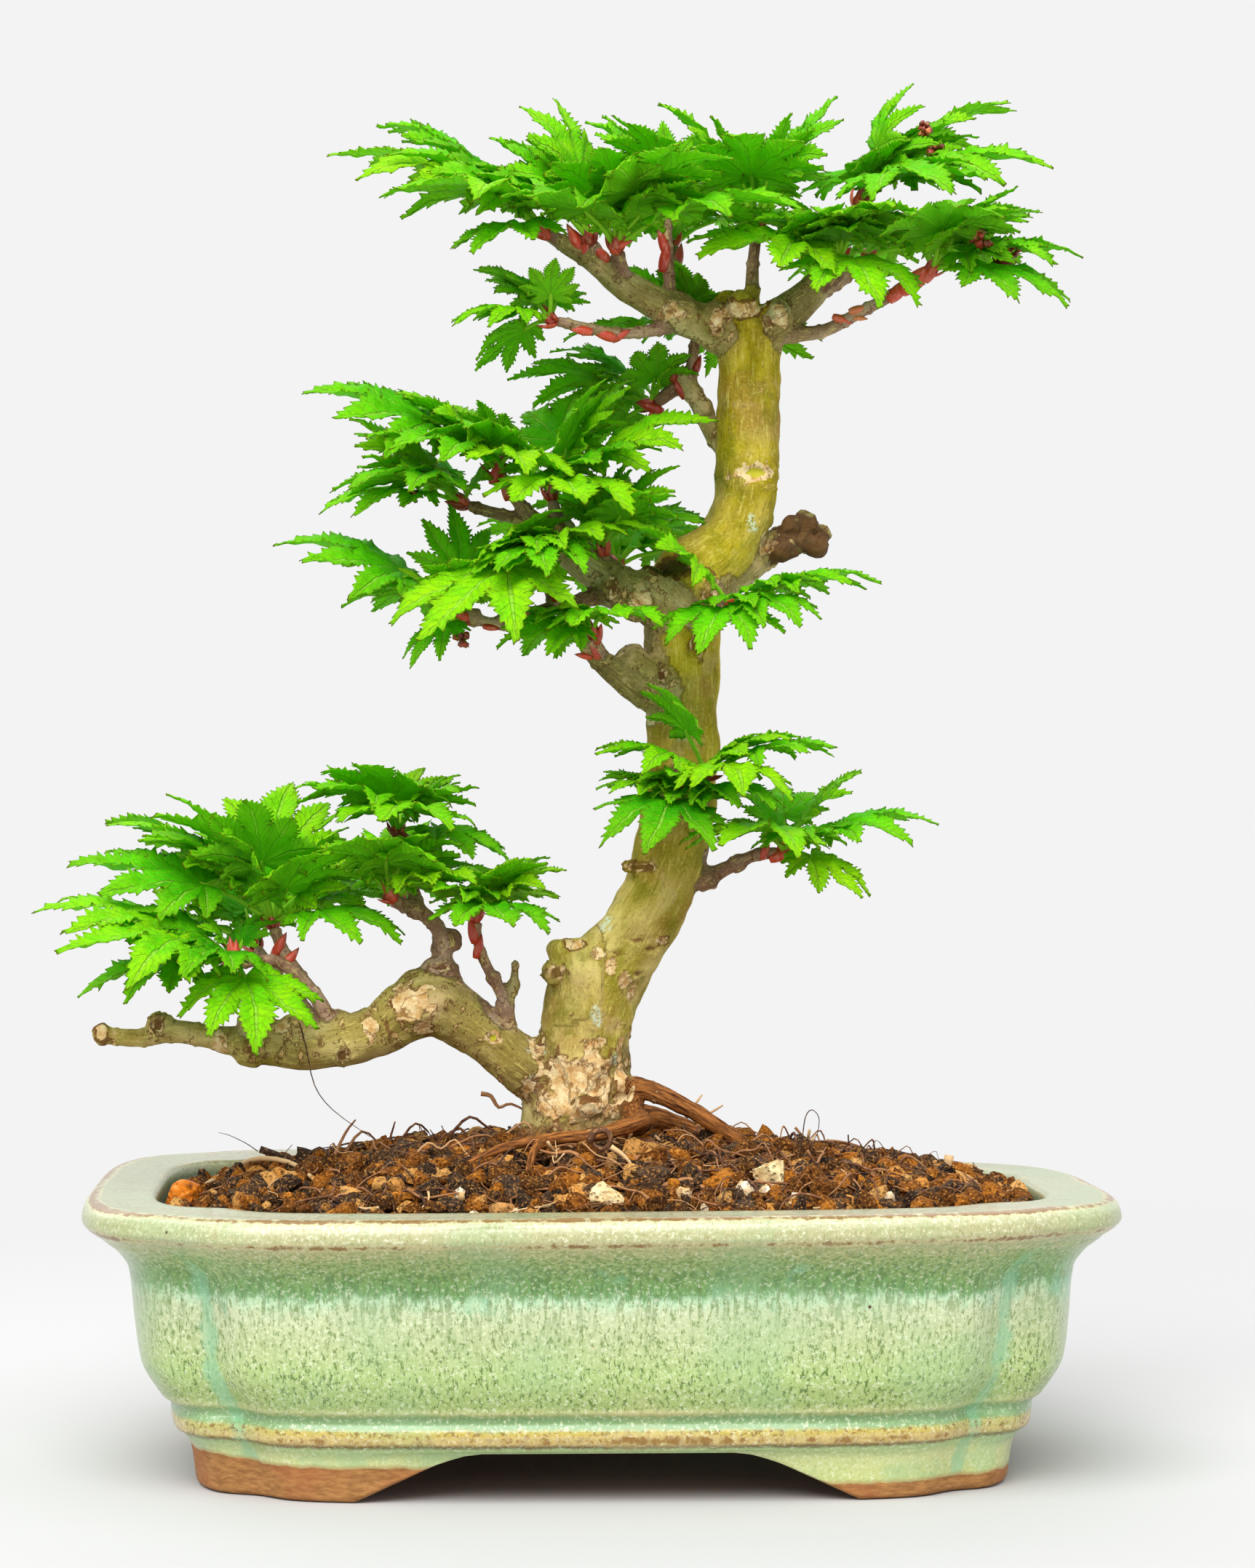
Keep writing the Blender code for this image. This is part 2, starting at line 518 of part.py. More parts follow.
def cut_pockets(soil):
    """Hollows in the soil for what stands in it, each a little larger than the thing itself."""
    room = GAP + POCKET_ROOM
    for path in (TRUNK, *ROOTS.values()):
        boolean(soil, tube("pocket", smooth_path(path, steps_for(path)), sides_for(path), room), "DIFFERENCE")
    for name, (at, half, turn, _) in STONES.items():
        boolean(soil, stone(name, at, half, turn, room), "DIFFERENCE")
    boolean(soil, loop_of_hair("pocket", room), "DIFFERENCE")
    for path in TWIGS.values():
        boolean(soil, loose_twig("pocket", path, room), "DIFFERENCE")


# ---- the leaves ---------------------------------------------------------------------------
def blade_outline(length):
    """The blade's edge, counter-clockwise from its middle tip, in its own frame: X to the tip, Z up."""
    polar = [(0, 1.0), *BLADE_HALF, *[(-d, r) for d, r in reversed(BLADE_HALF)]]
    points = []
    for degrees, reach in polar:
        lift = 0.05 if reach < 0.4 else 0.0
        points.append(Vector((reach * cos(radians(degrees)), reach * sin(radians(degrees)),
                              lift - DROOP * reach * reach)) * length)
    return points


def leaf_frame(shoot, tip):
    """The blade's frame, its length and its base, for a leaf from shoot to tip."""
    way = tip - shoot
    reach = way.length
    along = way.normalized()
    level = Vector((along.x, along.y, 0))
    up = Vector((0, 0, 1)) if level.length > 0.35 else Vector((0, 0, 0.3)) - level.normalized()
    base = shoot + along * (reach - min(LEAF_MOST, BLADE_SHARE * reach))
    base += Vector((0, 0, 1)) * PETIOLE_ARCH * reach
    forward = (tip - base).normalized()
    side = up.cross(forward).normalized()
    turn = Matrix((forward, side, forward.cross(side))).transposed().to_4x4()
    droop = Matrix.Rotation(-atan(DROOP), 4, "Y")
    return Matrix.Translation(base) @ turn @ droop, (tip - base).length / hypot(1, DROOP), base


def leaf(shoot, tip, fat=0.0):
    """A lobed plate on its petiole: a fan above, a fan below, walls between, and a stalk from the back."""
    frame, length, base = leaf_frame(shoot, tip)
    edge = blade_outline(length)
    count = len(edge)
    up = Vector((0, 0, BLADE_THICK / 2 + fat))
    local = [p + up for p in edge] + [p - up for p in edge]
    local += [Vector((0.05 * length, 0, 0.01 * length)) + up, Vector((0.05 * length, 0, 0.01 * length)) - up]
    points = [frame @ p for p in local]
    faces = []
    last = len(BLADE_HALF)
    for k in range(count):
        after = (k + 1) % count
        faces.append((k, after, 2 * count))
        faces.append((count + after, count + k, 2 * count + 1))
        if k != last:
            faces.append((count + k, count + after, after, k))
    mouth = (last, last + 1, count + last + 1, count + last)
    side = (points[last] - points[last + 1]).normalized()
    third = (shoot - base).cross(side).normalized()
    reach = PETIOLE_RADIUS + fat
    root = [shoot + side * reach + third * reach, shoot - side * reach + third * reach,
            shoot - side * reach - third * reach, shoot + side * reach - third * reach]
    if (root[0] - root[3]).dot(points[last] - points[count + last]) < 0:
        root = [root[3], root[2], root[1], root[0]]
    points += root
    first = 2 * count + 2
    for k in range(4):
        after = (k + 1) % 4
        faces.append((mouth[after], mouth[k], first + k, first + after))
    faces.append(tuple(first + k for k in reversed(range(4))))
    return object_of("leaf", points, faces)


def tree_of(made):
    points = [v.co.copy() for v in made.data.vertices]
    return BVHTree.FromPolygons(points, [tuple(p.vertices) for p in made.data.polygons])


def moves():
    """Every tilt and swing, the smallest first."""
    both = [(tilt, swing) for tilt in TILTS for swing in SWINGS]
    return sorted(both, key=lambda move: (hypot(*move), move))


def moved_tip(shoot, tip, tilt, swing):
    way = tip - shoot
    side = Vector((0, 0, 1)).cross(way)
    side = side.normalized() if side.length > 1e-6 else Vector((0, 1, 0))
    way = Matrix.Rotation(radians(-tilt), 3, side) @ way
    return shoot + Matrix.Rotation(radians(swing), 3, "Z") @ way


def crosses_sister(room, sister):
    """Whether two leaves of one shoot meet anywhere but where their petioles join."""
    return any(min(pair) < PETIOLE_FACE for pair in room.overlap(sister))


def clear_leaf(shoot, tip, placed, sisters):
    """The leaf, moved as little as keeps it clear of everything placed before it."""
    for tilt, swing in moves():
        there = moved_tip(shoot, tip, tilt, swing)
        fat = leaf(shoot, there, fat=GAP)
        room = tree_of(fat)
        bpy.data.objects.remove(fat, do_unlink=True)
        if any(room.overlap(other) for other in placed):
            continue
        if not any(crosses_sister(room, sister) for sister in sisters):
            return leaf(shoot, there)
    raise ValueError("a leaf has no room")


def shoot_place(twig, wood_tree):
    """Where a shoot sits: just clear of the wood at the end of its twig."""
    end = seen(*twig[-1][:3])
    on_wood, normal, _, _ = wood_tree.find_nearest(end * MM)
    return on_wood / MM + normal * (SHOOT_RADIUS + GAP)


def shoot_ball(centre):
    work = bmesh.new()
    bmesh.ops.create_icosphere(work, subdivisions=1, radius=SHOOT_RADIUS)
    points = [v.co + centre for v in work.verts]
    faces = [tuple(v.index for v in f.verts) for f in work.faces]
    work.free()
    return outward(object_of("ball", points, faces))


def build_shoots(wood, others):
    green = material("young_leaf", (0.13, 0.42, 0.03), 0.5)
    wood_tree = tree_of(wood)
    placed = [wood_tree] + [tree_of(other) for other in others]
    places = {name: shoot_place(twig, wood_tree) for name, (twig, _) in SHOOTS.items()}
    for name, (_, tips) in SHOOTS.items():
        centre = places[name]
        pieces = [shoot_ball(centre)]
        for tip in tips:
            sisters = [tree_of(piece) for piece in pieces[1:]]
            pieces.append(clear_leaf(centre, seen(*tip), placed, sisters))
        placed += [tree_of(piece) for piece in pieces]
        united("shoot_" + name, pieces, green)


# ---- the whole ----------------------------------------------------------------------------
def centre_on_origin():
    """Hangs every piece on one empty that puts the middle of the whole over the origin."""
    bpy.context.view_layer.update()
    corners = [v.co for o in bpy.data.objects if o.type == "MESH" for v in o.data.vertices]
    middle = [(min(c[i] for c in corners) + max(c[i] for c in corners)) / 2 for i in (0, 1)]
    lowest = min(c.z for c in corners)
    bonsai = bpy.data.objects.new("bonsai", None)
    bpy.context.scene.collection.objects.link(bonsai)
    for made in list(bpy.data.objects):
        if made.type == "MESH":
            made.parent = bonsai
    bonsai.location = (-middle[0], -middle[1], -lowest)


def main():
    clear_scene()
    pot = build_pot()
    build_mesh("drain_mesh_left", -DRAIN_AT)
    build_mesh("drain_mesh_right", DRAIN_AT)
    soil = build_soil()
    cut_pockets(soil)
    wood = build_wood()
    for name, (at, half, turn, colour) in STONES.items():
        stone(name, at, half, turn).data.materials.append(material(name, colour, 0.8))
    loop_of_hair("dead_root_loop").data.materials.append(material("dead_root_loop", (0.09, 0.05, 0.03), 0.8))
    for name, path in TWIGS.items():
        loose_twig(name, path).data.materials.append(material(name, (0.05, 0.03, 0.02), 0.8))
    build_shoots(wood, [pot, soil])
    centre_on_origin()


main()
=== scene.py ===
"""A maple bonsai in a celadon pot: glaze, soil, bark, bud scales and leaves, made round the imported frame."""

import random
from math import atan, atan2, cos, exp, hypot, pi, radians, sin, tan

import bmesh
import bpy
from mathutils import Matrix, Vector, noise
from mathutils.bvhtree import BVHTree
from mathutils.kdtree import KDTree


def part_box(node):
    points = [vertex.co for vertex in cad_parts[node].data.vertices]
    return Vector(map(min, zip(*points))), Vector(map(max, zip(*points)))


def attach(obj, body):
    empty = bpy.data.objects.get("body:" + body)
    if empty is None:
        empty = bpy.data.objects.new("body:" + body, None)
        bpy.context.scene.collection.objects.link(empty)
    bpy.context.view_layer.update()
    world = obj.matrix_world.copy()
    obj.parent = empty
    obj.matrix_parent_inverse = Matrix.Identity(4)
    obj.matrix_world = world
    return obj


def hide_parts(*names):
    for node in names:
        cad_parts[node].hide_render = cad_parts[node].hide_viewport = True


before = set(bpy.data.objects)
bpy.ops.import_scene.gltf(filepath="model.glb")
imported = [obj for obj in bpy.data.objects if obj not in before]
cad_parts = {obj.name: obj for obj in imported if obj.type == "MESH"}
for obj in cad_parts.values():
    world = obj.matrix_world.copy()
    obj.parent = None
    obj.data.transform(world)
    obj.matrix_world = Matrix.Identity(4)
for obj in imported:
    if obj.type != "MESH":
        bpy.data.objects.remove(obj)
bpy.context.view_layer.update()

MM = 0.001
POT_LOW, POT_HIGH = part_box("pot")
HOME = Vector(((POT_LOW.x + POT_HIGH.x) / 2, (POT_LOW.y + POT_HIGH.y) / 2, 0))
UP = Vector((0, 0, 1))

# ---- the pot, mm, as the part's source has it --------------------------------------------
RIM_TOP = 66.0
POT_OUTSIDE = (
    (0.0, 95.5, 66.5, 4.4, 3.5), (9.5, 97.0, 68.0, 4.4, 3.5), (12.0, 98.6, 69.8, 4.4, 4.0),
    (13.6, 100.6, 71.5, 4.4, 4.0), (16.4, 101.0, 71.8, 4.4, 4.0), (18.6, 101.2, 70.8, 4.4, 5.0),
    (22.5, 104.6, 72.8, 4.4, 5.5), (29.0, 108.2, 75.0, 4.4, 5.5), (39.0, 109.6, 76.4, 4.4, 5.5),
    (50.0, 110.8, 77.2, 4.4, 5.0), (54.5, 113.7, 80.2, 4.3, 4.0), (58.0, 118.0, 85.2, 4.2, 3.0),
    (61.5, 121.6, 88.0, 4.1, 2.5), (64.6, 120.8, 87.2, 4.1, 2.5), (RIM_TOP, 118.2, 84.6, 4.1, 2.5),
)
POT_INSIDE = (
    (20.0, 92.0, 61.0, 4.2, 4.0), (30.0, 100.0, 66.0, 4.2, 5.0), (50.0, 103.6, 68.4, 4.2, 5.0),
    (64.6, 104.6, 69.0, 4.2, 4.5), (RIM_TOP, 106.0, 70.4, 4.2, 4.5),
)
FLOOR_TOP, FLOOR_UNDER, FOOT_WALL = 19.0, 11.4, 9.0
GROOVE_WIDTH, GROOVE_WAY, CORNER_CROWD = 0.17, (0.62, 0.78), 0.12
ARCH_TOP = 11.0
ARCH_ALONG = ((29.0, 1), (36.0, 0.86), (46.0, 0.47), (57.0, 0))
ARCH_ACROSS = ((10.0, 1), (17.0, 0.86), (25.0, 0.47), (35.0, 0))
DRAIN_AT, DRAIN_RADIUS = 52.0, 8.0
TWIST, LEAN, WARP_AT = 1.25, 0.55, (97.0, 85.0)
SOIL_EDGE, SOIL_RISE, SOIL_SPAN = 62.6, 14.5, (104.0, 69.0)

# ---- the tree: how it is turned and seen, and its paths of (x, y, z, radius) ---------------
FRONT_TURN = radians(-2.3)
TURNED = Matrix.Rotation(FRONT_TURN, 3, "Z")
EYE = (7.0, -1035.0, 162.0)
TRUNK = (
    (-5, 0, 52, 17), (-5.5, 0, 66, 16.5), (-5.2, 0, 76, 14.5), (-4.5, -1, 88, 12.6),
    (-3.4, -2, 101, 11.2), (-0.4, -2, 113, 10.8), (7.8, -3, 124.5, 9.0), (15.0, -4, 138, 8.6),
    (17.9, -5, 148, 8.9), (19.8, -5, 158, 8.5), (20.2, -4, 170, 8.5), (20.0, -3, 185, 8.8),
    (20.3, -2, 200, 9.2), (23.0, -1, 211, 9.9), (31.5, 0, 221, 7.9), (35.0, 1, 230, 7.4),
    (35.6, 2, 240, 7.7), (36.3, 2, 250, 7.6), (36.5, 2, 262, 7.4), (36.8, 2, 275.5, 7.8),
)
BRANCHES = {
    "old_leader": ((-3.6, -2, 98, 9), (-4.2, -4, 111, 7.8), (-5.0, -5, 119, 6.2), (-5.6, -5, 123.8, 4.3)),
    "top_left": ((33, 1, 270, 6), (18.4, -2, 275.3, 4.3), (7.1, -6, 281.9, 3.7),
                 (-0.5, -9, 287.6, 3.1), (-8, -10, 292.3, 2.4)),
    "top_right": ((38, 1, 270, 6), (48.7, 0, 278.1, 4.2), (55, -1, 284.6, 3.4)),
    "back_left": ((34, 2, 240, 4.5), (28.5, 8, 245.5, 2.6), (24, 11, 254, 2.4), (20, 13, 260.5, 2.6)),
    "middle_left": ((20, -3, 201, 7), (9.8, -8, 207.6, 5.2), (-1.6, -9, 214, 4.5), (-10, -9, 221.5, 4.1)),
    "lower_left": ((18, -5, 181, 5), (9, -10, 185.5, 4.0), (2.4, -13, 190.2, 2.8), (-3.3, -15, 195, 1.8)),
    "grey_stub": ((13, -7, 185, 4.5), (6.5, -11, 193, 4.2)),
    "right_stub": ((26, 0, 210, 6), (37, 4, 215.5, 4.2), (44.5, 6, 220.5, 3.8), (50.5, 7, 221.5, 3.4)),
    "low_branch": ((-6, -1, 86, 9.0), (-14, -3, 91.5, 7.2), (-20, -4, 95.5, 6.6), (-26, -5, 100.6, 6.4),
                   (-33, -6, 105.8, 6.9), (-40, -8, 109.4, 8.1), (-46, -8, 107.4, 7.6),
                   (-53, -8, 102.8, 6.5), (-63, -9, 99.8, 5.8), (-74, -10, 98.6, 5.2),
                   (-84, -10, 99.6, 4.4), (-93, -10, 101, 2.8), (-103, -10, 102.4, 2.8),
                   (-109, -10, 101, 2.2), (-120.5, -10, 101.2, 2.0)),
    "stub_on_low_branch": ((-83, -10, 100, 3.8), (-84, -12, 106, 3.2)),
    "stub_on_low_left": ((-22.2, -8, 109, 1.5), (-20.6, -8, 113, 1.3), (-19.9, -8, 119.5, 0.8)),
    "top_front_twig": ((17.5, -2, 275, 1.7), (17, -3, 286, 1.4), (16.5, -3, 295, 1.3)),
}
ROOTS = {
    "root_right": ((0, -3, 83, 7), (9, -6, 88.6, 3.2), (15, -8, 87, 2.6), (22, -9, 83.6, 2.3),
                   (29, -9, 79.2, 2.2), (37, -8, 73.5, 2.0), (44, -6, 66, 1.7)),
    "root_right_back": ((2, 6, 80, 7), (13, 9, 81.5, 3.0), (24, 12, 77.5, 2.6), (36, 13, 71, 2.2),
                        (45, 13, 64, 1.8)),
    "root_front": ((8, -6, 80, 6), (10, -17, 81, 3.4), (0, -24, 77.5, 2.9), (-12, -27, 76.4, 2.5),
                   (-24, -30, 74, 2.0), (-32, -32, 70, 1.5)),
    "root_left": ((-8, -4, 72, 6), (-30, -10, 70, 3.6), (-50, -14, 62, 2.4)),
    "root_back": ((-6, 6, 72, 6), (-12, 26, 68, 3.6), (-16, 42, 60, 2.2)),
    "root_pale": ((-10, -22, 74.5, 2.4), (-15, -33, 74.5, 1.9), (-17, -41, 68, 1.5)),
}
# Each shoot: the twig's path to it, then each leaf's tip.
SHOOTS = {
    "crown_middle": (((37.5, 4, 272, 2.6), (37, 7, 284, 1.7), (38, 8, 295, 1.4)),
                     ((15, 20, 325), (58, 12, 327), (34, -32, 318), (28, 50, 314))),
    "crown_left_1": (((-5, -9.5, 290, 2.2), (-12, -10, 294.5, 1.7)),
                     ((-65, -14, 313), (-52, 20, 319), (-47, -44, 305), (-29, -36, 290))),
    "crown_left_2": (((2, -8, 286, 2), (-1.5, -12, 292, 1.6)),
                     ((-11, 4, 327), (-34, 34, 311), (-37, -16, 301))),
    "crown_left_3": (((7, -6, 282, 2), (4.5, -14, 290, 1.6)),
                     ((-17, -52, 299), (20, -54, 316), (48, -38, 306.5))),
    "crown_left_4": (((16.6, -3, 293, 1.3), (16.5, -2, 298, 1.2)),
                     ((3, 16, 324.5), (8, -26, 321), (34, 30, 318))),
    "crown_low_left": (((17, -3, 272, 1.8), (5.2, -12, 270.6, 1.4), (-10, -20, 273.5, 1.3)),
                       ((-34.5, -36, 272.5), (-19, 4, 283), (-29, -16, 261))),
    "crown_right_1": (((53, -1, 282, 3.2), (57, -3, 287, 2.2)),
                      ((27, -34, 288), (67, -38, 277), (70, -40, 297), (50, -34, 303), (33, 18, 300))),
    "crown_right_2": (((44, 0, 270, 2.2), (54.4, -3, 271.3, 1.7), (64, -6, 276.2, 1.5),
                       (73, -8, 281, 1.4), (79, -10, 285, 1.3)),
                      ((117, -16, 288), (112, -30, 277), (103, 14, 298), (88, -50, 301))),
    "crown_right_3": (((54, 0, 283, 2.4), (58, 3, 292, 1.7), (62, 6, 301, 1.4)),
                      ((108.7, -4, 311), (98.8, 28, 323), (76, 4, 330.5), (84, -36, 315), (78, 44, 316))),
    "crown_back_left": (((19, -1, 275, 2.4), (19, 16, 283, 1.8), (18, 30, 291, 1.4)),
                        ((-14, 52, 298), (20, 70, 302), (46, 60, 305))),
    "crown_back_right": (((51, 0, 280, 2.6), (58, 16, 283, 1.8), (64, 29, 288, 1.4)),
                         ((92, 52, 293), (58, 70, 290), (100, 32, 287))),
    "under_crown": (((22, 12, 258, 1.8), (23.2, 12, 269, 1.3)),
                    ((6, 34, 284), (48.8, 36, 262.5), (-8, 10, 272))),
    "back_left": (((21, 12.5, 259, 2.0), (14, 14, 254, 1.7)),
                  ((-22, 20, 259), (-6, 42, 262), (-3, 24, 240))),
    "pad_left_1": (((-10, -9, 222.5, 2.0), (-18, -8, 228.5, 1.6), (-23, -7, 236, 1.4)),
                   ((-71, -12, 256), (-50, -38, 243), (-16, -44, 245), (-36, 26, 252))),
    "pad_left_2": (((-9, -9, 221.5, 2.2), (-11, -8, 230, 1.6)),
                   ((28.5, -16, 249.6), (-5, 20, 256), (-4, -50, 243))),
    "pad_left_3": (((-14, -8, 225, 1.8), (-24, -5, 227, 1.5), (-31, -4, 229, 1.4)),
                   ((-67.3, -16, 227.5), (-53, 22, 244), (-60, -38, 233))),
    "pad_left_4": (((3, -8, 212, 2.0), (1.5, -11, 217, 1.6)),
                   ((12, -34, 235), (-3, 20, 236), (29, 14, 233))),
    "pad_left_5": (((5, -9, 209, 2.8), (-3, -11, 206.4, 2.0), (-12, -12, 204.2, 1.7),
                    (-23, -13, 200.6, 1.5), (-30.5, -13, 202, 1.4)),
                   ((-45, -24, 190), (-77.5, -18, 220), (-9, -36, 228), (-56, 14, 204))),
    "pad_left_6": (((-10, -12, 204.5, 1.7), (-12, -16, 209, 1.4), (-13, -17, 214.5, 1.3)),
                   ((-52, -46, 210), (-14, -54, 212), (-24, -48, 228))),
    "pad_left_7": (((1, -14, 191.5, 1.7), (-1, -17, 197, 1.4)),
                   ((-20, -36, 196), (6, -52, 201), (-20, 6, 196))),
    "pad_back": (((20, 2, 203, 3.0), (12, 20, 209, 2.0), (5, 38, 214, 1.5)),
                 ((-30, 56, 222), (22, 74, 221), (-16, 66, 208), (34, 46, 216))),
    "pad_right": (((25, -6, 206, 2.6), (31, -11, 204.5, 2.0)),
                  ((68.5, -20, 210.5), (49, -40, 200), (30, -46, 197), (3, -32, 221))),
    "trunk_front_1": (((22, -10, 162, 2.2), (25, -14.5, 163.5, 1.8)),
                      ((12, -30, 186), (58.5, -28, 170.5), (38, -52, 163), (1, -36, 168.5))),
    "trunk_front_2": (((18, -10, 156, 2.2), (18.5, -15.5, 158, 1.8)),
                      ((2, -34, 160), (14, -54, 148), (44, -40, 156))),
    "low_right": (((24, -6, 138, 2.6), (32.6, -8, 142.6, 1.7), (38, -9, 144.9, 1.5), (43, -9, 145.5, 1.4)),
                  ((82, -12, 152), (63, -26, 134), (44, 16, 161), (32, -48, 147))),
    "low_left_1": (((-21.5, -5, 101, 2.2), (-22.4, -8, 109, 1.7), (-25.4, -9, 115.2, 1.4),
                    (-28.6, -10, 122, 1.3), (-29.5, -11, 128.5, 1.2)),
                   ((-7.2, -20, 141), (-21, -44, 127), (-16, 18, 134), (-40, -38, 133))),
    "low_left_2": (((-39, -8, 113, 3.2), (-37.3, -8, 123, 2.2), (-41, -8, 130, 1.8), (-49, -9, 134, 1.5)),
                   ((-24, -30, 134), (-52, -48, 139), (-40, 22, 138))),
    "low_left_3": (((-43, -8, 131, 1.8), (-46, -4, 141, 1.5), (-48, -2, 149, 1.3)),
                   ((-33, 6, 162), (-56, 28, 163), (-66, -36, 160), (-43, -42, 157), (-21, -10, 143))),
    "low_left_4": (((-64, -9, 103, 2.4), (-69, -10, 112, 1.8), (-77, -10, 119, 1.5), (-86, -13, 119, 1.4)),
                   ((-135.8, -24, 131.5), (-126.9, -48, 125), (-124.8, -22, 109.5), (-80, -44, 97))),
    "low_left_5": (((-70, -10, 113, 1.8), (-75.5, -7, 121, 1.5), (-78, -5, 127, 1.4)),
                   ((-46.5, -24, 124), (-47, 4, 133), (-76, 22, 162), (-86, -36, 158),
                    (-119, 14, 153), (-126, -10, 146))),
    "low_left_6": (((-68, -8, 104, 2.2), (-76, 6, 114, 1.7), (-82, 18, 122, 1.4)),
                   ((-66, 54, 134), (-104, 48, 139), (-114, 30, 128))),
    "low_left_back": (((-38, -8, 121, 2.2), (-39, 8, 128, 1.7), (-48, 26, 133, 1.4)),
                      ((-28, 54, 138), (-60, 66, 136), (-46, 44, 151), (-84, 50, 134))),
}
SHOOT_RADIUS, GAP = 1.5, 0.35
LEAF_MOST, BLADE_SHARE, PETIOLE_ARCH = 33.0, 0.66, 0.10
TILTS = (0, 6, -6, 12, -12, 18, -18, 25, -25, 32, -32, 40, -40)
SWINGS = (0, 8, -8, 16, -16, 24, -24, 32, -32, 42, -42, 52, -52)


# ---- shader nodes --------------------------------------------------------------------------
class Value:
    """A socket that can be added, multiplied and so on like a number."""

    def __init__(self, finish, socket):
        self.finish, self.socket = finish, socket

    def maths(self, operation, *terms):
        return self.finish.node("ShaderNodeMath", {"operation": operation}, dict(enumerate((self, *terms))))

    def __add__(self, other):
        return self.maths("ADD", other)

    __radd__ = __add__

    def __mul__(self, other):
        return self.maths("MULTIPLY", other)

    __rmul__ = __mul__

    def __sub__(self, other):
        return self.maths("SUBTRACT", other)

    def __rsub__(self, other):
        return self.maths("MULTIPLY_ADD", -1.0, other)

    def __abs__(self):
        return self.maths("ABSOLUTE")

    def between(self, low, high):
        """0 below low, 1 above high, and smooth between them."""
        return self.finish.node("ShaderNodeMapRange", {"interpolation_type": "SMOOTHSTEP"},
                                {"Value": self, "From Min": low, "From Max": high})

    def below(self, low, high):
        """1 below low, 0 above high, and smooth between them."""
        return 1 - self.between(low, high)


class Finish:
    """A material and its nodes."""

    def __init__(self, name):
        self.material = bpy.data.materials.new(name)
        self.material.use_nodes = True
        self.tree = self.material.node_tree
        self.tree.nodes.clear()
        self.where = self.node("ShaderNodeTexCoord", out="Object")

    def node(self, kind, settings=None, values=None, out=0):
        made = self.tree.nodes.new(kind)
        for key, setting in (settings or {}).items():
            if key == "stops":
                set_stops(made.color_ramp, setting)
            else:
                setattr(made, key, setting)
        for key, value in (values or {}).items():
            if isinstance(value, Value):
                self.tree.links.new(value.socket, made.inputs[key])
            else:
                made.inputs[key].default_value = value
        return Value(self, made.outputs[out])

    def noise(self, size, detail=2.0, stretch=None, on=None, rough=0.5):
        """Cloudy noise whose lumps are about size mm, longer along stretch."""
        on = on or self.where
        if stretch:
            on = self.node("ShaderNodeMapping", None, {"Vector": on, "Scale": stretch})
        return self.node("ShaderNodeTexNoise", None,
                         {"Vector": on, "Scale": 1 / (size * MM), "Detail": detail, "Roughness": rough})

    def dots(self, spacing):
        """The distance to the nearest of some scattered points, from 0 to about 1."""
        return self.node("ShaderNodeTexVoronoi", None, {"Vector": self.where, "Scale": 1 / (spacing * MM)})

    def place(self, axis):
        """How far along an axis of the world, in metres."""
        return self.node("ShaderNodeSeparateXYZ", None, {"Vector": self.where}, out=axis)

    def attribute(self, name, out="Fac"):
        return self.node("ShaderNodeAttribute", {"attribute_name": name}, out=out)

    def ramp(self, share, *stops):
        return self.node("ShaderNodeValToRGB", {"stops": stops}, {"Fac": share})

    def mix(self, share, one, other):
        return self.node("ShaderNodeMix", {"data_type": "RGBA"}, {0: share, 6: one, 7: other}, out=2)

    def coated(self, colour, *coats):
        """A colour with coats laid over it in turn, each with how much of it shows."""
        for share, coat in coats:
            colour = self.mix(share, colour, coat)
        return colour

    def bump(self, height, depth, strength=1.0):
        """A bump whose full height is depth mm."""
        return self.node("ShaderNodeBump", None,
                         {"Strength": strength, "Distance": depth * MM, "Height": height})

    def surface(self, colour, roughness, normal=None, light_through=None, share_through=0.0, **fixed):
        values = {"Base Color": colour, "Roughness": roughness}
        values.update({name.replace("_", " "): value for name, value in fixed.items()})
        if normal:
            values["Normal"] = normal
        shader = self.node("ShaderNodeBsdfPrincipled", None, values)
        if light_through:
            back = self.node("ShaderNodeBsdfTranslucent", None, {"Color": light_through})
            shader = self.node("ShaderNodeMixShader", None, {0: share_through, 1: shader, 2: back})
        end = self.tree.nodes.new("ShaderNodeOutputMaterial")
        self.tree.links.new(shader.socket, end.inputs["Surface"])
        return self.material


def set_stops(ramp, stops):
    for i, (at, colour) in enumerate(stops):
        stop = ramp.elements[i] if i < 2 else ramp.elements.new(at)
        stop.position = at
        stop.color = colour if isinstance(colour, tuple) else (colour, colour, colour, 1)


def tint(red, green, blue):
    """A colour given from 0 to 255 as a screen shows it."""
    linear = [c / 255 / 12.92 if c <= 10 else ((c / 255 + 0.055) / 1.055) ** 2.4 for c in (red, green, blue)]
    return (*linear, 1.0)


# ---- finishes ------------------------------------------------------------------------------
# The glaze's colour at heights up the pot, mm.
GLAZE_BANDS = (
    (0, (180, 190, 112)), (9.5, (206, 212, 146)), (12.4, (172, 196, 134)), (13.2, (112, 84, 34)),
    (14.0, (180, 148, 60)), (16.4, (196, 174, 84)), (17.4, (120, 156, 102)), (19.6, (126, 158, 106)),
    (20.8, (188, 190, 130)), (22.5, (160, 180, 106)), (30, (176, 197, 126)), (38, (188, 200, 149)),
    (44, (201, 211, 168)), (46.8, (190, 222, 182)), (48.4, (112, 160, 98)), (51.5, (120, 162, 88)),
    (55.5, (158, 178, 112)), (58.6, (186, 184, 130)), (61.4, (182, 180, 134)), (63.0, (172, 170, 124)),
    (64.6, (194, 194, 154)), (65.8, (206, 210, 176)),
)


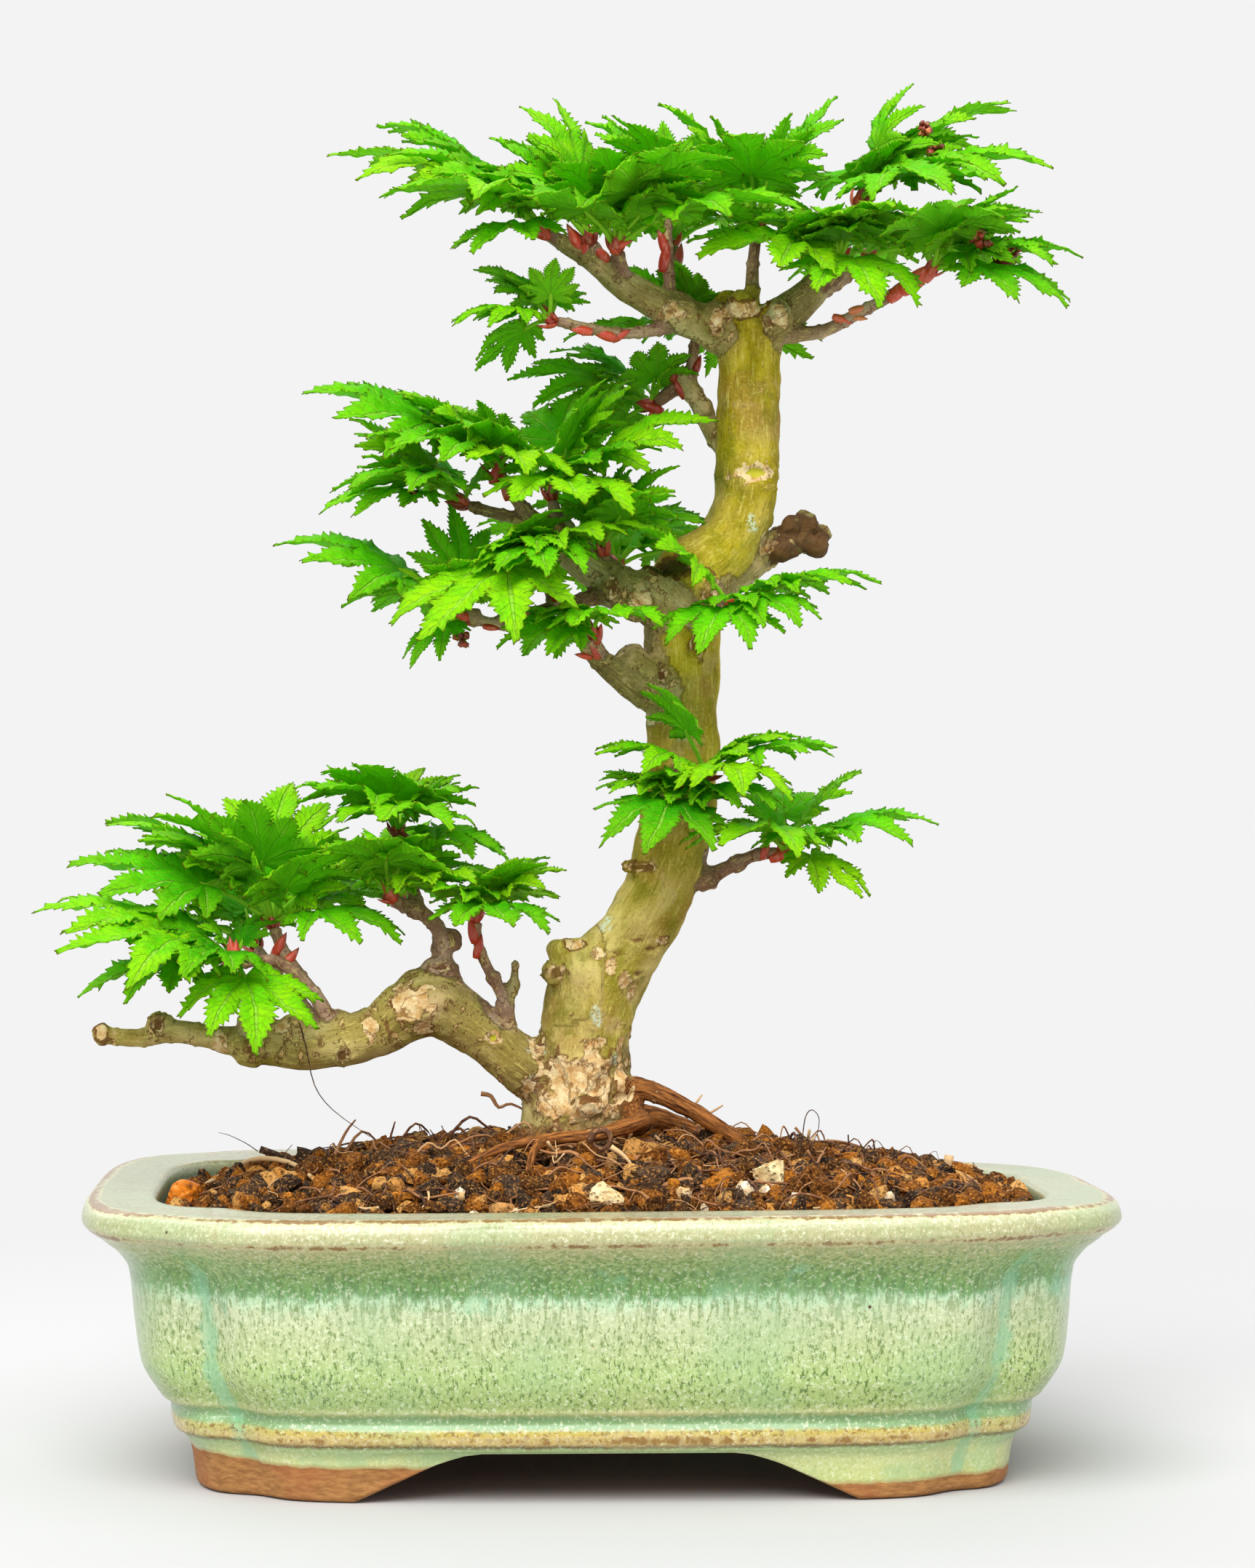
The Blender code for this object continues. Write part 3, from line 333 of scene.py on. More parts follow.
def celadon_glaze():
    """Celadon over warm clay: it breaks cream and brown on edges, pools green and turquoise in hollows."""
    f = Finish("celadon_glaze")
    height, edge, bare = f.attribute("height"), f.attribute("edge"), f.attribute("bare")
    inside, hollow = f.attribute("inside"), f.attribute("hollow")
    slow = f.noise(26, 2)
    drip = f.noise(3.2, 3, stretch=(1, 1, 0.13))
    fine_drip = f.noise(1.1, 2, stretch=(1, 1, 0.16))
    run = f.ramp(height * (1 / RIM_TOP),
        (0.0, 0.03), (0.35, 0.04), (0.62, 0.3), (0.74, 1.0), (0.86, 0.7), (0.92, 0.1))
    wander = (drip - 0.5) * run * 6 + (fine_drip - 0.5) * run * 6 + (slow - 0.5) * run * 7
    level = (height + wander + (drip - 0.5) * 1.2) * (1 / RIM_TOP)
    body = f.ramp(level, *((z / RIM_TOP, tint(*colour)) for z, colour in GLAZE_BANDS))
    streaks = fine_drip.below(0.42, 0.5) * run
    fleck_noise = f.noise(0.8, 4, stretch=(1, 1, 0.42), rough=0.75)
    flecks = fleck_noise.below(0.41, 0.465) * height.between(18, 24)
    flecks = flecks * (1 - height.between(50, 64) * 0.7)
    low_fleck = f.mix(height.between(26, 50), tint(84, 114, 40), tint(112, 138, 66))
    mottle = f.noise(0.9, 5, rough=0.72)
    top = height.between(65.1, 65.6)
    y = f.place("Y")
    crazing = f.noise(1.3, 5, rough=0.75).below(0.40, 0.5)
    break_up = f.noise(2.4, 5, rough=0.7)
    groove = (hollow + (f.noise(7, 4, rough=0.65) - 0.5) * 1.7).between(0.5, 1.05) * height.below(52, 60)
    # how far along the length from the middle, for the painted shade at the two ends
    end_shade_x = f.place("X") + (-HOME.x)
    pool = f.noise(15, 3, rough=0.6).between(0.58, 0.70) * height.between(40, 46) * height.below(52, 57)
    waist = height.between(12.2, 13.4) * height.below(16.6, 17.6)
    rust = f.noise(1.2, 4, rough=0.7).below(0.40, 0.49) * waist
    green_base = f.noise(9, 3).between(0.45, 0.6) * height.below(11, 12.6)
    thin = (edge + (break_up - 0.5) * 2.0 + (slow - 0.5) * 0.9).between(0.62, 0.95)
    cream = (edge + (slow - 0.5) * 1.5).between(0.28, 0.62) * (1 - thin)
    cracks = f.noise(0.7, 5, stretch=(1, 1, 0.5), rough=0.75).below(0.38, 0.45) * height.between(55, 60)
    iron = f.dots(12).below(0.018, 0.05) * f.noise(30, 1).between(0.42, 0.47)
    body = f.coated(
        body,
        (streaks * 0.7, tint(78, 120, 54)),
        (flecks * (1.0 - height.between(26, 50) * 0.3) * 0.95, low_fleck),
        (mottle.between(0.53, 0.62) * 0.5, tint(238, 242, 212)),
        (mottle.below(0.36, 0.45) * 0.35, tint(116, 142, 72)),
        # painted shade: the rim's flat top is darkened, least at its front outer edge and more inwards and
        # round the back
        (top * (y.between(-0.082, -0.066) * 0.34 + 0.44), tint(158, 158, 120)),
        (top * f.noise(11, 4, rough=0.65).between(0.5, 0.68) * 0.4, tint(150, 134, 84)),
        (crazing * top * 0.5, tint(124, 110, 64)),
        (slow.below(0.34, 0.52) * 0.3, tint(150, 186, 136)),
        (groove * 0.6, tint(136, 194, 152)),
        # painted shade: past about 94 mm from the middle, the pot's two ends are darkened as if less lit
        (abs(end_shade_x).between(0.094, 0.112) * 0.3, tint(128, 156, 108)),
        (pool * 0.55, tint(134, 196, 158)),
        (rust * 0.75, tint(120, 82, 28)),
        (green_base * 0.4, tint(150, 190, 140)),
        (thin * 0.88, tint(134, 94, 42)),
        (cream * 0.4, tint(214, 196, 144)),
        (cracks * 0.5, tint(140, 112, 66)),
        (inside, f.mix(mottle, tint(84, 122, 108), tint(150, 180, 158))),
        (iron, f.mix(slow.between(0.45, 0.5), tint(70, 48, 14), tint(176, 106, 34))),
    )
    clay_grain = f.noise(1.6, 4, stretch=(0.5, 0.5, 1.6), rough=0.65)
    clay = f.mix(clay_grain.between(0.3, 0.7), tint(138, 90, 42), tint(180, 128, 70))
    clay = f.mix(f.noise(12, 3).between(0.4, 0.65) * 0.5, clay, tint(166, 96, 50))
    wavy = bare + (f.noise(5, 3) - 0.5) * 0.5
    show = wavy.between(0.42, 0.58)
    lip = wavy.between(0.16, 0.42) * (1 - show)
    colour = f.mix(show, f.mix(lip * 0.7, body, tint(176, 150, 92)), clay)
    roughness = (0.17 + mottle * 0.12) * (1 - show) + show * 0.82
    relief = slow * 0.5 + mottle * 0.16 + drip * 0.2 - iron * 0.25 + show * (clay_grain * 0.6 - 0.4)
    return f.surface(colour, roughness, f.bump(relief, 0.55, 0.7), Specular_IOR_Level=0.55)


def bark():
    """Smooth maple bark: olive on the trunk, grey-mauve on branches, with fine light streaks and scars."""
    f = Finish("maple_bark")
    age, root, cream = f.attribute("age"), f.attribute("root"), f.attribute("cream")
    brown, eye, dark = f.attribute("brown"), f.attribute("eye"), f.attribute("dark")
    grain = f.attribute("grain", out="Vector")
    streak = f.noise(0.6, 4, stretch=(1, 1, 0.12), on=grain, rough=0.65)
    broad = f.noise(7, 3, stretch=(1, 1, 0.35), on=grain)
    patch = f.noise(16, 3)
    fleck = f.noise(0.8, 3, rough=0.7)
    olive = f.ramp(broad, (0.28, tint(132, 116, 4)), (0.5, tint(170, 150, 10)), (0.72, tint(208, 188, 60)))
    low = f.place("Z").below(0.118, 0.165)
    grey = f.ramp(broad, (0.28, tint(104, 88, 50)), (0.5, tint(152, 136, 82)), (0.72, tint(206, 192, 144)))
    young = f.ramp(broad, (0.3, tint(98, 64, 48)), (0.5, tint(148, 112, 92)), (0.7, tint(196, 168, 146)))
    warm = f.noise(11, 3, on=grain).between(0.52, 0.66)
    olive = f.coated(
        olive,
        (low * 0.68, f.mix(broad.between(0.35, 0.65), tint(170, 156, 62), tint(226, 206, 140))),
        (patch.between(0.42, 0.62) * 0.6, tint(184, 156, 84)),
        (warm * 0.45, tint(164, 118, 54)),
    )
    wood = f.mix(age.between(0.35, 0.85), grey, olive)
    worn = f.noise(9, 4, rough=0.65)
    rooty = f.mix(streak.between(0.3, 0.7), tint(58, 26, 8), tint(176, 112, 56))
    ragged = f.noise(2.2, 4, rough=0.7)
    pale = f.mix(ragged.between(0.35, 0.65), tint(206, 156, 92), tint(246, 222, 172))
    scar = f.noise(4.2, 4, stretch=(1, 1, 1.6), on=grain, rough=0.65)
    scarred = scar.between(0.60, 0.66) * age.below(0.8, 1.0) * age.between(0.3, 0.5) * (1 - root)
    outline = abs(scar - 0.6).below(0.012, 0.035) * age.below(0.8, 1.0) * (1 - root)
    split = f.noise(5.0, 4, stretch=(1, 1, 0.6), on=grain, rough=0.6)
    pale = f.mix(abs(split - 0.5).below(0.008, 0.03) * 0.75, pale, tint(122, 78, 38))
    wood = f.coated(
        wood,
        (age.below(0.05, 0.3), young),
        (streak.between(0.54, 0.68) * 0.55, tint(232, 216, 120)),
        (streak.below(0.32, 0.44) * 0.45, tint(96, 82, 22)),
        (worn.between(0.54, 0.68) * 0.6 * (1 - root) * (1 - age.between(0.75, 1.0) * 0.5),
         tint(218, 186, 136)),
        (worn.below(0.32, 0.5) * 0.6 * age.between(0.5, 0.9), tint(124, 122, 4)),
        (fleck.between(0.58, 0.66) * 0.4, tint(224, 208, 118)),
        (fleck.below(0.36, 0.43) * 0.35, tint(90, 72, 20)),
        (f.attribute("lichen") * fleck.between(0.4, 0.6), tint(208, 226, 204)),
        (root, rooty),
        (scarred * 0.8, tint(230, 190, 130)),
        (outline * 0.75, tint(96, 60, 28)),
        ((brown + (ragged - 0.5) * 0.9).between(0.4, 0.75) * 0.85, tint(112, 70, 36)),
        ((cream + (ragged - 0.5) * 0.9).between(0.4, 0.6) * 0.92, pale),
        (dark.between(0.3, 0.8) * 0.8, tint(50, 38, 30)),
        (eye.between(0.4, 0.6), f.mix(fleck, tint(176, 168, 30), tint(214, 206, 70))),
    )
    relief = streak * 0.4 + broad * 0.3 + fleck * 0.35 + ragged * cream * 0.9
    return f.surface(wood, 0.58 + fleck * 0.2, f.bump(relief, 0.6, 0.9), Specular_IOR_Level=0.12)


def young_leaf():
    """Fresh maple leaf: bright green with pale ribs, yellower at the tips, red-brown at the teeth."""
    f = Finish("young_leaf")
    tone, tooth, stalk = f.attribute("tone"), f.attribute("tooth"), f.attribute("stalk")
    along, across, under = f.attribute("along"), f.attribute("across"), f.attribute("under")
    cloud = f.noise(5, 3)
    fine = f.noise(0.7, 4, rough=0.65)
    green = f.ramp(tone * 0.7 + cloud * 0.7 - 0.2, (0.1, tint(44, 164, 0)), (0.46, tint(112, 232, 0)),
                   (0.84, tint(196, 254, 6)))
    # Side veins leave the midrib towards the edge, as one wave along each lobe.
    vein = ((along * 11 - across * 2.1) * (2 * pi)).maths("SINE").between(0.72, 1.0)
    rib = across.below(0.05, 0.17)
    green = f.coated(
        green,
        (along.between(0.35, 1.0) * 0.42, tint(190, 244, 20)),
        ((1 - vein) * across.between(0.1, 0.5) * 0.22, tint(36, 150, 0)),
        (vein * 0.42, tint(176, 236, 56)),
        (fine.below(0.34, 0.5) * 0.38, tint(16, 126, 0)),
        (fine.between(0.56, 0.72) * 0.35, tint(176, 236, 60)),
        (rib * 0.6, tint(180, 230, 86)),
        (under * 0.5, tint(150, 226, 40)),
        (tooth.between(0.6, 0.97) * 0.85, tint(120, 44, 10)),
    )
    colour = f.mix(stalk, green, tint(160, 216, 50))
    relief = fine * 0.7 - rib * 0.9 - vein * 0.5
    return f.surface(colour, 0.48 + fine * 0.14, f.bump(relief, 0.55, 1.0),
                     light_through=tint(150, 240, 4), share_through=0.37, Specular_IOR_Level=0.12)


def scale_finish():
    """Bud scales: waxy red, paler and pinker at the base, with fine streaks along them."""
    f = Finish("bud_scale")
    tone, along = f.attribute("tone"), f.attribute("along")
    streak = f.noise(1.0, 3, stretch=(1, 1, 0.5))
    red = f.ramp(tone,
        (0.0, tint(104, 44, 16)), (0.4, tint(170, 44, 22)), (0.75, tint(214, 76, 48)),
        (1.0, tint(222, 140, 84)))
    red = f.coated(
        red,
        (streak.between(0.5, 0.7) * 0.45, tint(232, 150, 128)),
        (along.between(0.7, 1.0) * 0.6, tint(92, 34, 22)),
    )
    return f.surface(red, 0.42, f.bump(streak, 0.3, 0.6), Coat_Weight=0.15)


def lump_finish(name, stops, grain_size=0.7, rough=0.9, lighter=0.0):
    """A crumb or stone whose colour comes from its own tone, with painted highlight and painted shade in its
    speckle and pits.
    """
    f = Finish(name)
    tone = f.attribute("tone")
    grain = f.noise(grain_size, 5, rough=0.75)
    cloud = f.noise(grain_size * 5, 2)
    colour = f.ramp(tone + (cloud - 0.5) * 0.25 + lighter, *stops)
    shaded_pits = f.dots(grain_size * 1.9).below(0.2, 0.45)
    # the light speckle is partly lighter grain, partly painted highlight; the dark speckle and the pits are
    # painted shade in the pores
    colour = f.coated(
        colour,
        (grain.between(0.53, 0.62) * 0.6, tint(248, 176, 86)),
        (grain.below(0.38, 0.48) * 0.75, tint(30, 12, 4)),
        (shaded_pits * 0.45, tint(30, 12, 4)),
    )
    return f.surface(colour, rough, f.bump(grain - shaded_pits * 0.7, 0.8, 0.9), Specular_IOR_Level=0.2)


def pumice(name, light, deep, pit_shade):
    f = Finish(name)
    grain = f.noise(0.9, 5, rough=0.7)
    cloud = f.noise(4, 2)
    shaded_pits = f.dots(1.4).below(0.16, 0.42)
    colour = f.mix(cloud.between(0.35, 0.65), light, deep)
    # painted shade: the pits and the low spots of the grain take the darker pit colour
    colour = f.coated(
        colour,
        (shaded_pits * 0.55, pit_shade),
        (grain.below(0.35, 0.5) * 0.35, pit_shade),
    )
    return f.surface(colour, 0.85, f.bump(grain * 0.6 - shaded_pits * 0.8, 0.8, 0.9))


def fibre_finish():
    f = Finish("root_fibre")
    tone = f.attribute("tone")
    streak = f.noise(1.2, 3)
    colour = f.ramp(tone,
        (0.0, tint(44, 24, 14)), (0.45, tint(106, 62, 32)), (0.8, tint(176, 122, 76)),
        (1.0, tint(226, 192, 140)))
    colour = f.mix(streak.between(0.5, 0.7) * 0.4, colour, tint(198, 150, 98))
    return f.surface(colour, 0.8, f.bump(streak, 0.4, 0.7))


def netting():
    f = Finish("netting_plastic")
    grain = f.noise(2.5, 3)
    colour = f.mix(grain, tint(22, 22, 23), tint(44, 44, 46))
    return f.surface(colour, 0.5 + grain * 0.12, f.bump(grain, 0.1, 0.4))


def floor_finish(light):
    """A floor that shows as bright as the sky above it, with painted light near the pot that lifts the pot's
    shadow on it.
    """
    f = Finish("pale_floor")
    distance = f.node("ShaderNodeVectorMath", {"operation": "LENGTH"}, {0: f.where}, out="Value")
    past_painted_light = distance.between(0.1, 0.6)
    # painted light: near the pot the floor is up to 12% brighter, to lift the pot's shadow
    near = min(0.99, light * 1.12)
    colour = f.mix(past_painted_light, (near, near, near, 1), (light, light, light, 1))
    return f.surface(colour, 1.0, Specular_IOR_Level=0.0)


# ---- making pieces --------------------------------------------------------------------------
def nothing_selected():
    for thing in list(bpy.context.selected_objects):
        thing.select_set(False)


def take(piece):
    nothing_selected()
    piece.select_set(True)
    bpy.context.view_layer.objects.active = piece


def piece_from(name, points, faces, **floats):
    """A piece from points in mm round the pot's middle, with a number for each point under each name."""
    mesh = bpy.data.meshes.new(name)
    mesh.from_pydata([HOME + Vector(p) * MM for p in points], [], faces)
    mesh.validate()
    for key, numbers in floats.items():
        mesh.attributes.new(key, "FLOAT", "POINT").data.foreach_set("value", numbers)
    mesh.polygons.foreach_set("use_smooth", [True] * len(mesh.polygons))
    made = bpy.data.objects.new(name, mesh)
    bpy.context.scene.collection.objects.link(made)
    return made


def outward(made):
    work = bmesh.new()
    work.from_mesh(made.data)
    bmesh.ops.recalc_face_normals(work, faces=work.faces)
    work.to_mesh(made.data)
    work.free()
    return made


def modified(made, kind, **settings):
    step = made.modifiers.new("step", kind)
    for key, value in settings.items():
        setattr(step, key, value)
    take(made)
    bpy.ops.object.modifier_apply(modifier=step.name)
    return made


def settle(made, finish, slot, *nodes):
    """The piece gets its finish, rides on the root body and stands for its CAD nodes."""
    made.data.materials.clear()
    made.data.materials.append(finish)
    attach(made, "root")
    if nodes:
        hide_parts(*nodes)
    return made


def smooth_step(share):
    share = min(1.0, max(0.0, share))
    return share * share * (3 - 2 * share)


def between(rows, at):
    """The rows' other columns where their first is at, on smooth curves through them."""
    last = len(rows) - 1
    i = next((k for k in range(last) if at <= rows[k + 1][0]), last - 1)
    span = rows[i + 1][0] - rows[i][0]
    t = min(1.0, max(0.0, (at - rows[i][0]) / span))

    def rise(k, c):
        return (rows[k + 1][c] - rows[k][c]) / (rows[k + 1][0] - rows[k][0])

    def slope(k, c):
        if k == 0 or k == last:
            return rise(min(k, last - 1), c)
        before, after = rise(k - 1, c), rise(k, c)
        return 0 if before * after <= 0 else 2 * before * after / (before + after)

    out = []
    for c in range(1, len(rows[0])):
        a, b = rows[i][c], rows[i + 1][c]
        m, n = slope(i, c) * span, slope(i + 1, c) * span
        out.append((2 * t ** 3 - 3 * t ** 2 + 1) * a + (t ** 3 - 2 * t ** 2 + t) * m
                   + (3 * t ** 2 - 2 * t ** 3) * b + (t ** 3 - t ** 2) * n)
    return out


def seen(x, y, z):
    """The place at depth y that looks, from EYE, to be at (x, z) on the middle plane."""
    nearer = 1 - y / EYE[1]
    there = Vector((EYE[0] + (x - EYE[0]) * nearer, y, EYE[2] + (z - EYE[2]) * nearer))
    return TURNED @ there


def smooth_path(path, steps, straight=False):
    """Points on a curve through a path, with the radius as a fourth number."""
    knots = [Vector((*(p[:3] if straight else seen(*p[:3])), p[3])) for p in path]
    ends = [2 * knots[0] - knots[1], *knots, 2 * knots[-1] - knots[-2]]
    points = []
    for i in range(1, len(ends) - 2):
        before, start, end, after = ends[i - 1:i + 3]
        for step in range(steps):
            t = step / steps
            points.append(0.5 * (2 * start + (end - before) * t
                                 + (2 * before - 5 * start + 4 * end - after) * t * t
                                 + (3 * start - before - 3 * end + after) * t * t * t))
    points.append(knots[-1])
    return points


def path_frames(points):
    """For each point: its place, way along, and two ways across."""
    places = [Vector(p[:3]) for p in points]
    across, frames = None, []
    for i, there in enumerate(places):
        along = (places[min(i + 1, len(places) - 1)] - places[max(i - 1, 0)]).normalized()
        if across is None:
            across = along.orthogonal().normalized()
        across = (across - along * across.dot(along)).normalized()
        frames.append((there, along, across, along.cross(across)))
    return frames


def ring_faces(rings, sides):
    """The faces that join rings of points, each to the next."""
    faces = []
    for r in range(rings - 1):
        for k in range(sides):
            a, b = r * sides + k, r * sides + (k + 1) % sides
            faces.append((a, b, b + sides, a + sides))
    return faces


def tube_skin(points, sides, round_ends=True):
    """Points and faces of a closed tube."""
    frames = path_frames(points)
    rings = []
    if round_ends:
        there, along, across, third = frames[0]
        rings.append((there - along * points[0][3] * 0.25, across, third, points[0][3] * 0.6))
    rings += [(f[0], f[2], f[3], p[3]) for f, p in zip(frames, points)]
    if round_ends:
        there, along, across, third = frames[-1]
        rings.append((there + along * points[-1][3] * 0.25, across, third, points[-1][3] * 0.6))
    skin = []
    for there, across, third, radius in rings:
        skin += [there + radius * (cos(2 * pi * k / sides) * across + sin(2 * pi * k / sides) * third)
                 for k in range(sides)]
    faces = ring_faces(len(rings), sides)
    faces.append(tuple(reversed(range(sides))))
    faces.append(tuple(range(len(skin) - sides, len(skin))))
    return skin, faces


class Heap:
    """Many small shapes gathered into one piece."""

    def __init__(self, *names):
        self.points, self.faces = [], []
        self.floats = {name: [] for name in names}

    def add(self, points, faces, **floats):
        start = len(self.points)
        self.points += points
        self.faces += [tuple(start + i for i in face) for face in faces]
        for name, numbers in self.floats.items():
            value = floats[name]
            numbers += value if isinstance(value, list) else [value] * len(points)

    def piece(self, name):
        return piece_from(name, self.points, self.faces, **self.floats)


# ---- the pot ----------------------------------------------------------------------------------
POT_POINTS = 400
# Where the glaze breaks on an edge, and where the wall stands out or in: how much, height, spread.
GLAZE_EDGES = ((1.0, 65.7, 0.6), (0.8, 60.0, 0.9), (0.72, 14.6, 1.5), (0.35, 20.8, 0.5))
RIDGES = ((0.45, 20.8, 0.7), (-0.5, 12.9, 0.45), (-0.35, 58.0, 0.6))


def pot_point(angle, half_length, half_depth, square, groove):
    c, s = cos(angle), sin(angle)
    x = half_length * abs(c) ** (2 / square) * (1 if c >= 0 else -1)
    y = half_depth * abs(s) ** (2 / square) * (1 if s >= 0 else -1)
    pull = groove * exp(-(abs(angle % (pi / 2) - pi / 4) / GROOVE_WIDTH) ** 2)
    return x - pull * GROOVE_WAY[0] * (1 if x > 0 else -1), y - pull * GROOVE_WAY[1] * (1 if y > 0 else -1)


def warp(x, y, z):
    share = max(0.0, (z - 15.0) / (RIM_TOP - 15.0))
    return share * (-TWIST * x * y / (WARP_AT[0] * WARP_AT[1]) - LEAN * x / WARP_AT[0])


def arch_height(x, y):
    """How high the arch between two feet is above a place on the foot."""
    def one(rows, across):
        if across >= rows[-1][0]:
            return 0.0
        return ARCH_TOP * between(((0.0, 1.0), *rows), across)[0]
    return max(one(ARCH_ALONG, abs(x)) if abs(y) > 50 else 0, one(ARCH_ACROSS, abs(y)) if abs(x) > 80 else 0)


def clay_line(x):
    """How high the glaze stops above a place on the foot."""
    front = 7.8 + 1.6 * smooth_step((abs(x) - 70) / 25)
    return front if x < 0 else 3.8


def make_pot():
    angles = [2 * pi * k / POT_POINTS for k in range(POT_POINTS)]
    angles = [a + CORNER_CROWD * sin(4 * a) for a in angles]
    rings = []  # height, level's columns, shrink, edge, inside

    def near(z, at, spread):
        return exp(-((z - at) / spread) ** 2)

    def edge_at(z):
        return max(share * near(z, at, spread) for share, at, spread in GLAZE_EDGES)

    def ring(z, level, shrink=0.0, edge=0.0, inside=0.0):
        rings.append((z, level, shrink, edge, inside))

    ring(FLOOR_UNDER, between(POT_OUTSIDE, 0), FOOT_WALL + 1.0)
    ring(0.6, between(POT_OUTSIDE, 0), FOOT_WALL)
    ring(0.0, between(POT_OUTSIDE, 0), FOOT_WALL - 0.6)
    ring(0.0, between(POT_OUTSIDE, 0), 4.0)
    ring(0.0, between(POT_OUTSIDE, 0), 0.9)
    ring(0.35, between(POT_OUTSIDE, 0), 0.25)
    z = 0.8
    while z < 64.8:
        ridge = sum(share * near(z, at, spread) for share, at, spread in RIDGES)
        ring(z, between(POT_OUTSIDE, z), -ridge, edge_at(z))
        z += 0.45 if z < 22 or z > 56.5 else 1.0
    lip, outer, inner = between(POT_OUTSIDE, 64.9), POT_OUTSIDE[-1][1:], POT_INSIDE[-1][1:]
    for z, share in ((64.9, 0.05), (65.4, 0.25), (65.75, 0.5), (65.95, 0.8), (RIM_TOP, 1.0)):
        ring(z, [a + (b - a) * share for a, b in zip(lip, outer)], 0.0, edge_at(z))
    for share, sink in ((0.15, 0.05), (0.4, 0.25), (0.65, 0.3), (0.88, 0.1)):
        ring(RIM_TOP - sink, [a + (b - a) * share for a, b in zip(outer, inner)])
    ring(65.9, inner, 0.3, 0.25)
    ring(65.5, inner, 0.9, 0.3)
    z = 64.6
    while z > 20:
        ring(z, between(POT_INSIDE, z), 0.0, 0.0, smooth_step((65 - z) / 4))
        z -= 1.6
    ring(FLOOR_TOP, POT_INSIDE[0][1:], 3.0, 0.0, 1.0)
    points = []
    floats = {name: [] for name in ("height", "edge", "bare", "inside", "hollow")}
    for z, (half_length, half_depth, square, groove), shrink, edge, inside in rings:
        for angle in angles:
            x, y = pot_point(angle, half_length - shrink, half_depth - shrink, square, groove)
            arch = arch_height(x, y) if not inside else 0.0
            up = z if z >= 12 or inside else arch + z * (12 - arch) / 12
            if z == FLOOR_UNDER:
                up = max(FLOOR_UNDER, arch + 0.2)
            wave = 0.0 if z > 64.5 or inside or z < 2 else noise.noise(Vector((x, y, up)) / 16) * 0.32
            out = Vector((x, y, 0)).normalized() * wave
            points.append((x + out.x, y + out.y, up + warp(x, y, up)))
            floats["height"].append(up)
            floats["edge"].append(edge)
            floats["inside"].append(inside)
            floats["hollow"].append(exp(-(abs(angle % (pi / 2) - pi / 4) / 0.07) ** 2))
            under = z < 0.5 and shrink > 0.5 or z == FLOOR_UNDER or (z == 0.6 and shrink > 0)
            floats["bare"].append(1.0 if under else 0.5 + (clay_line(x) - up) / 3.0)
    faces = ring_faces(len(rings), POT_POINTS)
    faces.append(tuple(reversed(range(POT_POINTS))))
    faces.append(tuple(range(len(points) - POT_POINTS, len(points))))
    pot = outward(piece_from("glazed_pot", points, faces, **floats))
    for side in (-1, 1):
        nothing_selected()
        bpy.ops.mesh.primitive_cylinder_add(vertices=40, radius=DRAIN_RADIUS * MM, depth=20 * MM,
                                            location=HOME + Vector((side * DRAIN_AT, 0, 15)) * MM)
        cutter = bpy.context.active_object
        modified(pot, "BOOLEAN", operation="DIFFERENCE", object=cutter, solver="EXACT")
        bpy.data.objects.remove(cutter, do_unlink=True)
    take(pot)
    bpy.ops.object.shade_smooth_by_angle(angle=radians(50))
    return settle(pot, celadon_glaze(), "celadon_glaze", "pot")


# ---- the soil ------------------------------------------------------------------------------------
CRUMBS, FIBRES = 2350, 560
TRUNK_X, PEBBLE_AT = -5.5, (-98.0, -15.0)
# How far crumbs keep from the trunk's middle, roots from it, and crumbs from the pebble's middle.
CRUMB_CLEAR, FIBRE_CLEAR, PEBBLE_CLEAR = 14.5, 13, 6.5


def soil_height(x, y):
    u, v = x / SOIL_SPAN[0], y / SOIL_SPAN[1]
    return SOIL_EDGE + SOIL_RISE * max(0.0, 1 - u * u) * max(0.0, 1 - v * v)


def inside_pot(x, y, margin):
    """Whether a place is within the pot's mouth, at least margin from its wall."""
    a, b = 104.0 - margin, 68.4 - margin
    corner = 8.0 * max(0.0, (abs(x) / a) - 0.62) * max(0.0, (abs(y) / b) - 0.62)
    return (abs(x) / a) ** 4.2 + (abs(y) / b) ** 4.2 + corner < 1


def make_soil():
    count, steps = 180, 56
    angles = [2 * pi * k / count for k in range(count)]
    angles = [a + CORNER_CROWD * sin(4 * a) for a in angles]
    points = []
    lip = POT_INSIDE[3][1:]
    edge = [pot_point(a, lip[0] - 0.7, lip[1] - 0.7, *lip[2:]) for a in angles]
    for z, level in ((20.7, POT_INSIDE[0]), (30.0, POT_INSIDE[1]), (50.0, POT_INSIDE[2])):
        points += [(*pot_point(a, level[1] - 0.8, level[2] - 0.8, *level[3:]), z) for a in angles]
    for step in range(steps):
        share = 1 - step / steps
        for x, y in edge:
            x, y = x * share, y * share
            rough = noise.noise(Vector((x, y, 0)) / 3.0) * 1.3 + noise.noise(Vector((x, y, 9)) / 9.0) * 1.2
            points.append((x, y, soil_height(x, y) - 1.6 + rough))
    faces = ring_faces(3 + steps, count)
    faces.append(tuple(reversed(range(count))))
    points.append((0, 0, soil_height(0, 0) - 1))
    start = len(points) - 1 - count
    faces += [(start + k, start + (k + 1) % count, len(points) - 1) for k in range(count)]
    return outward(piece_from("soil_bed", points, faces, tone=[0.04] * len(points)))


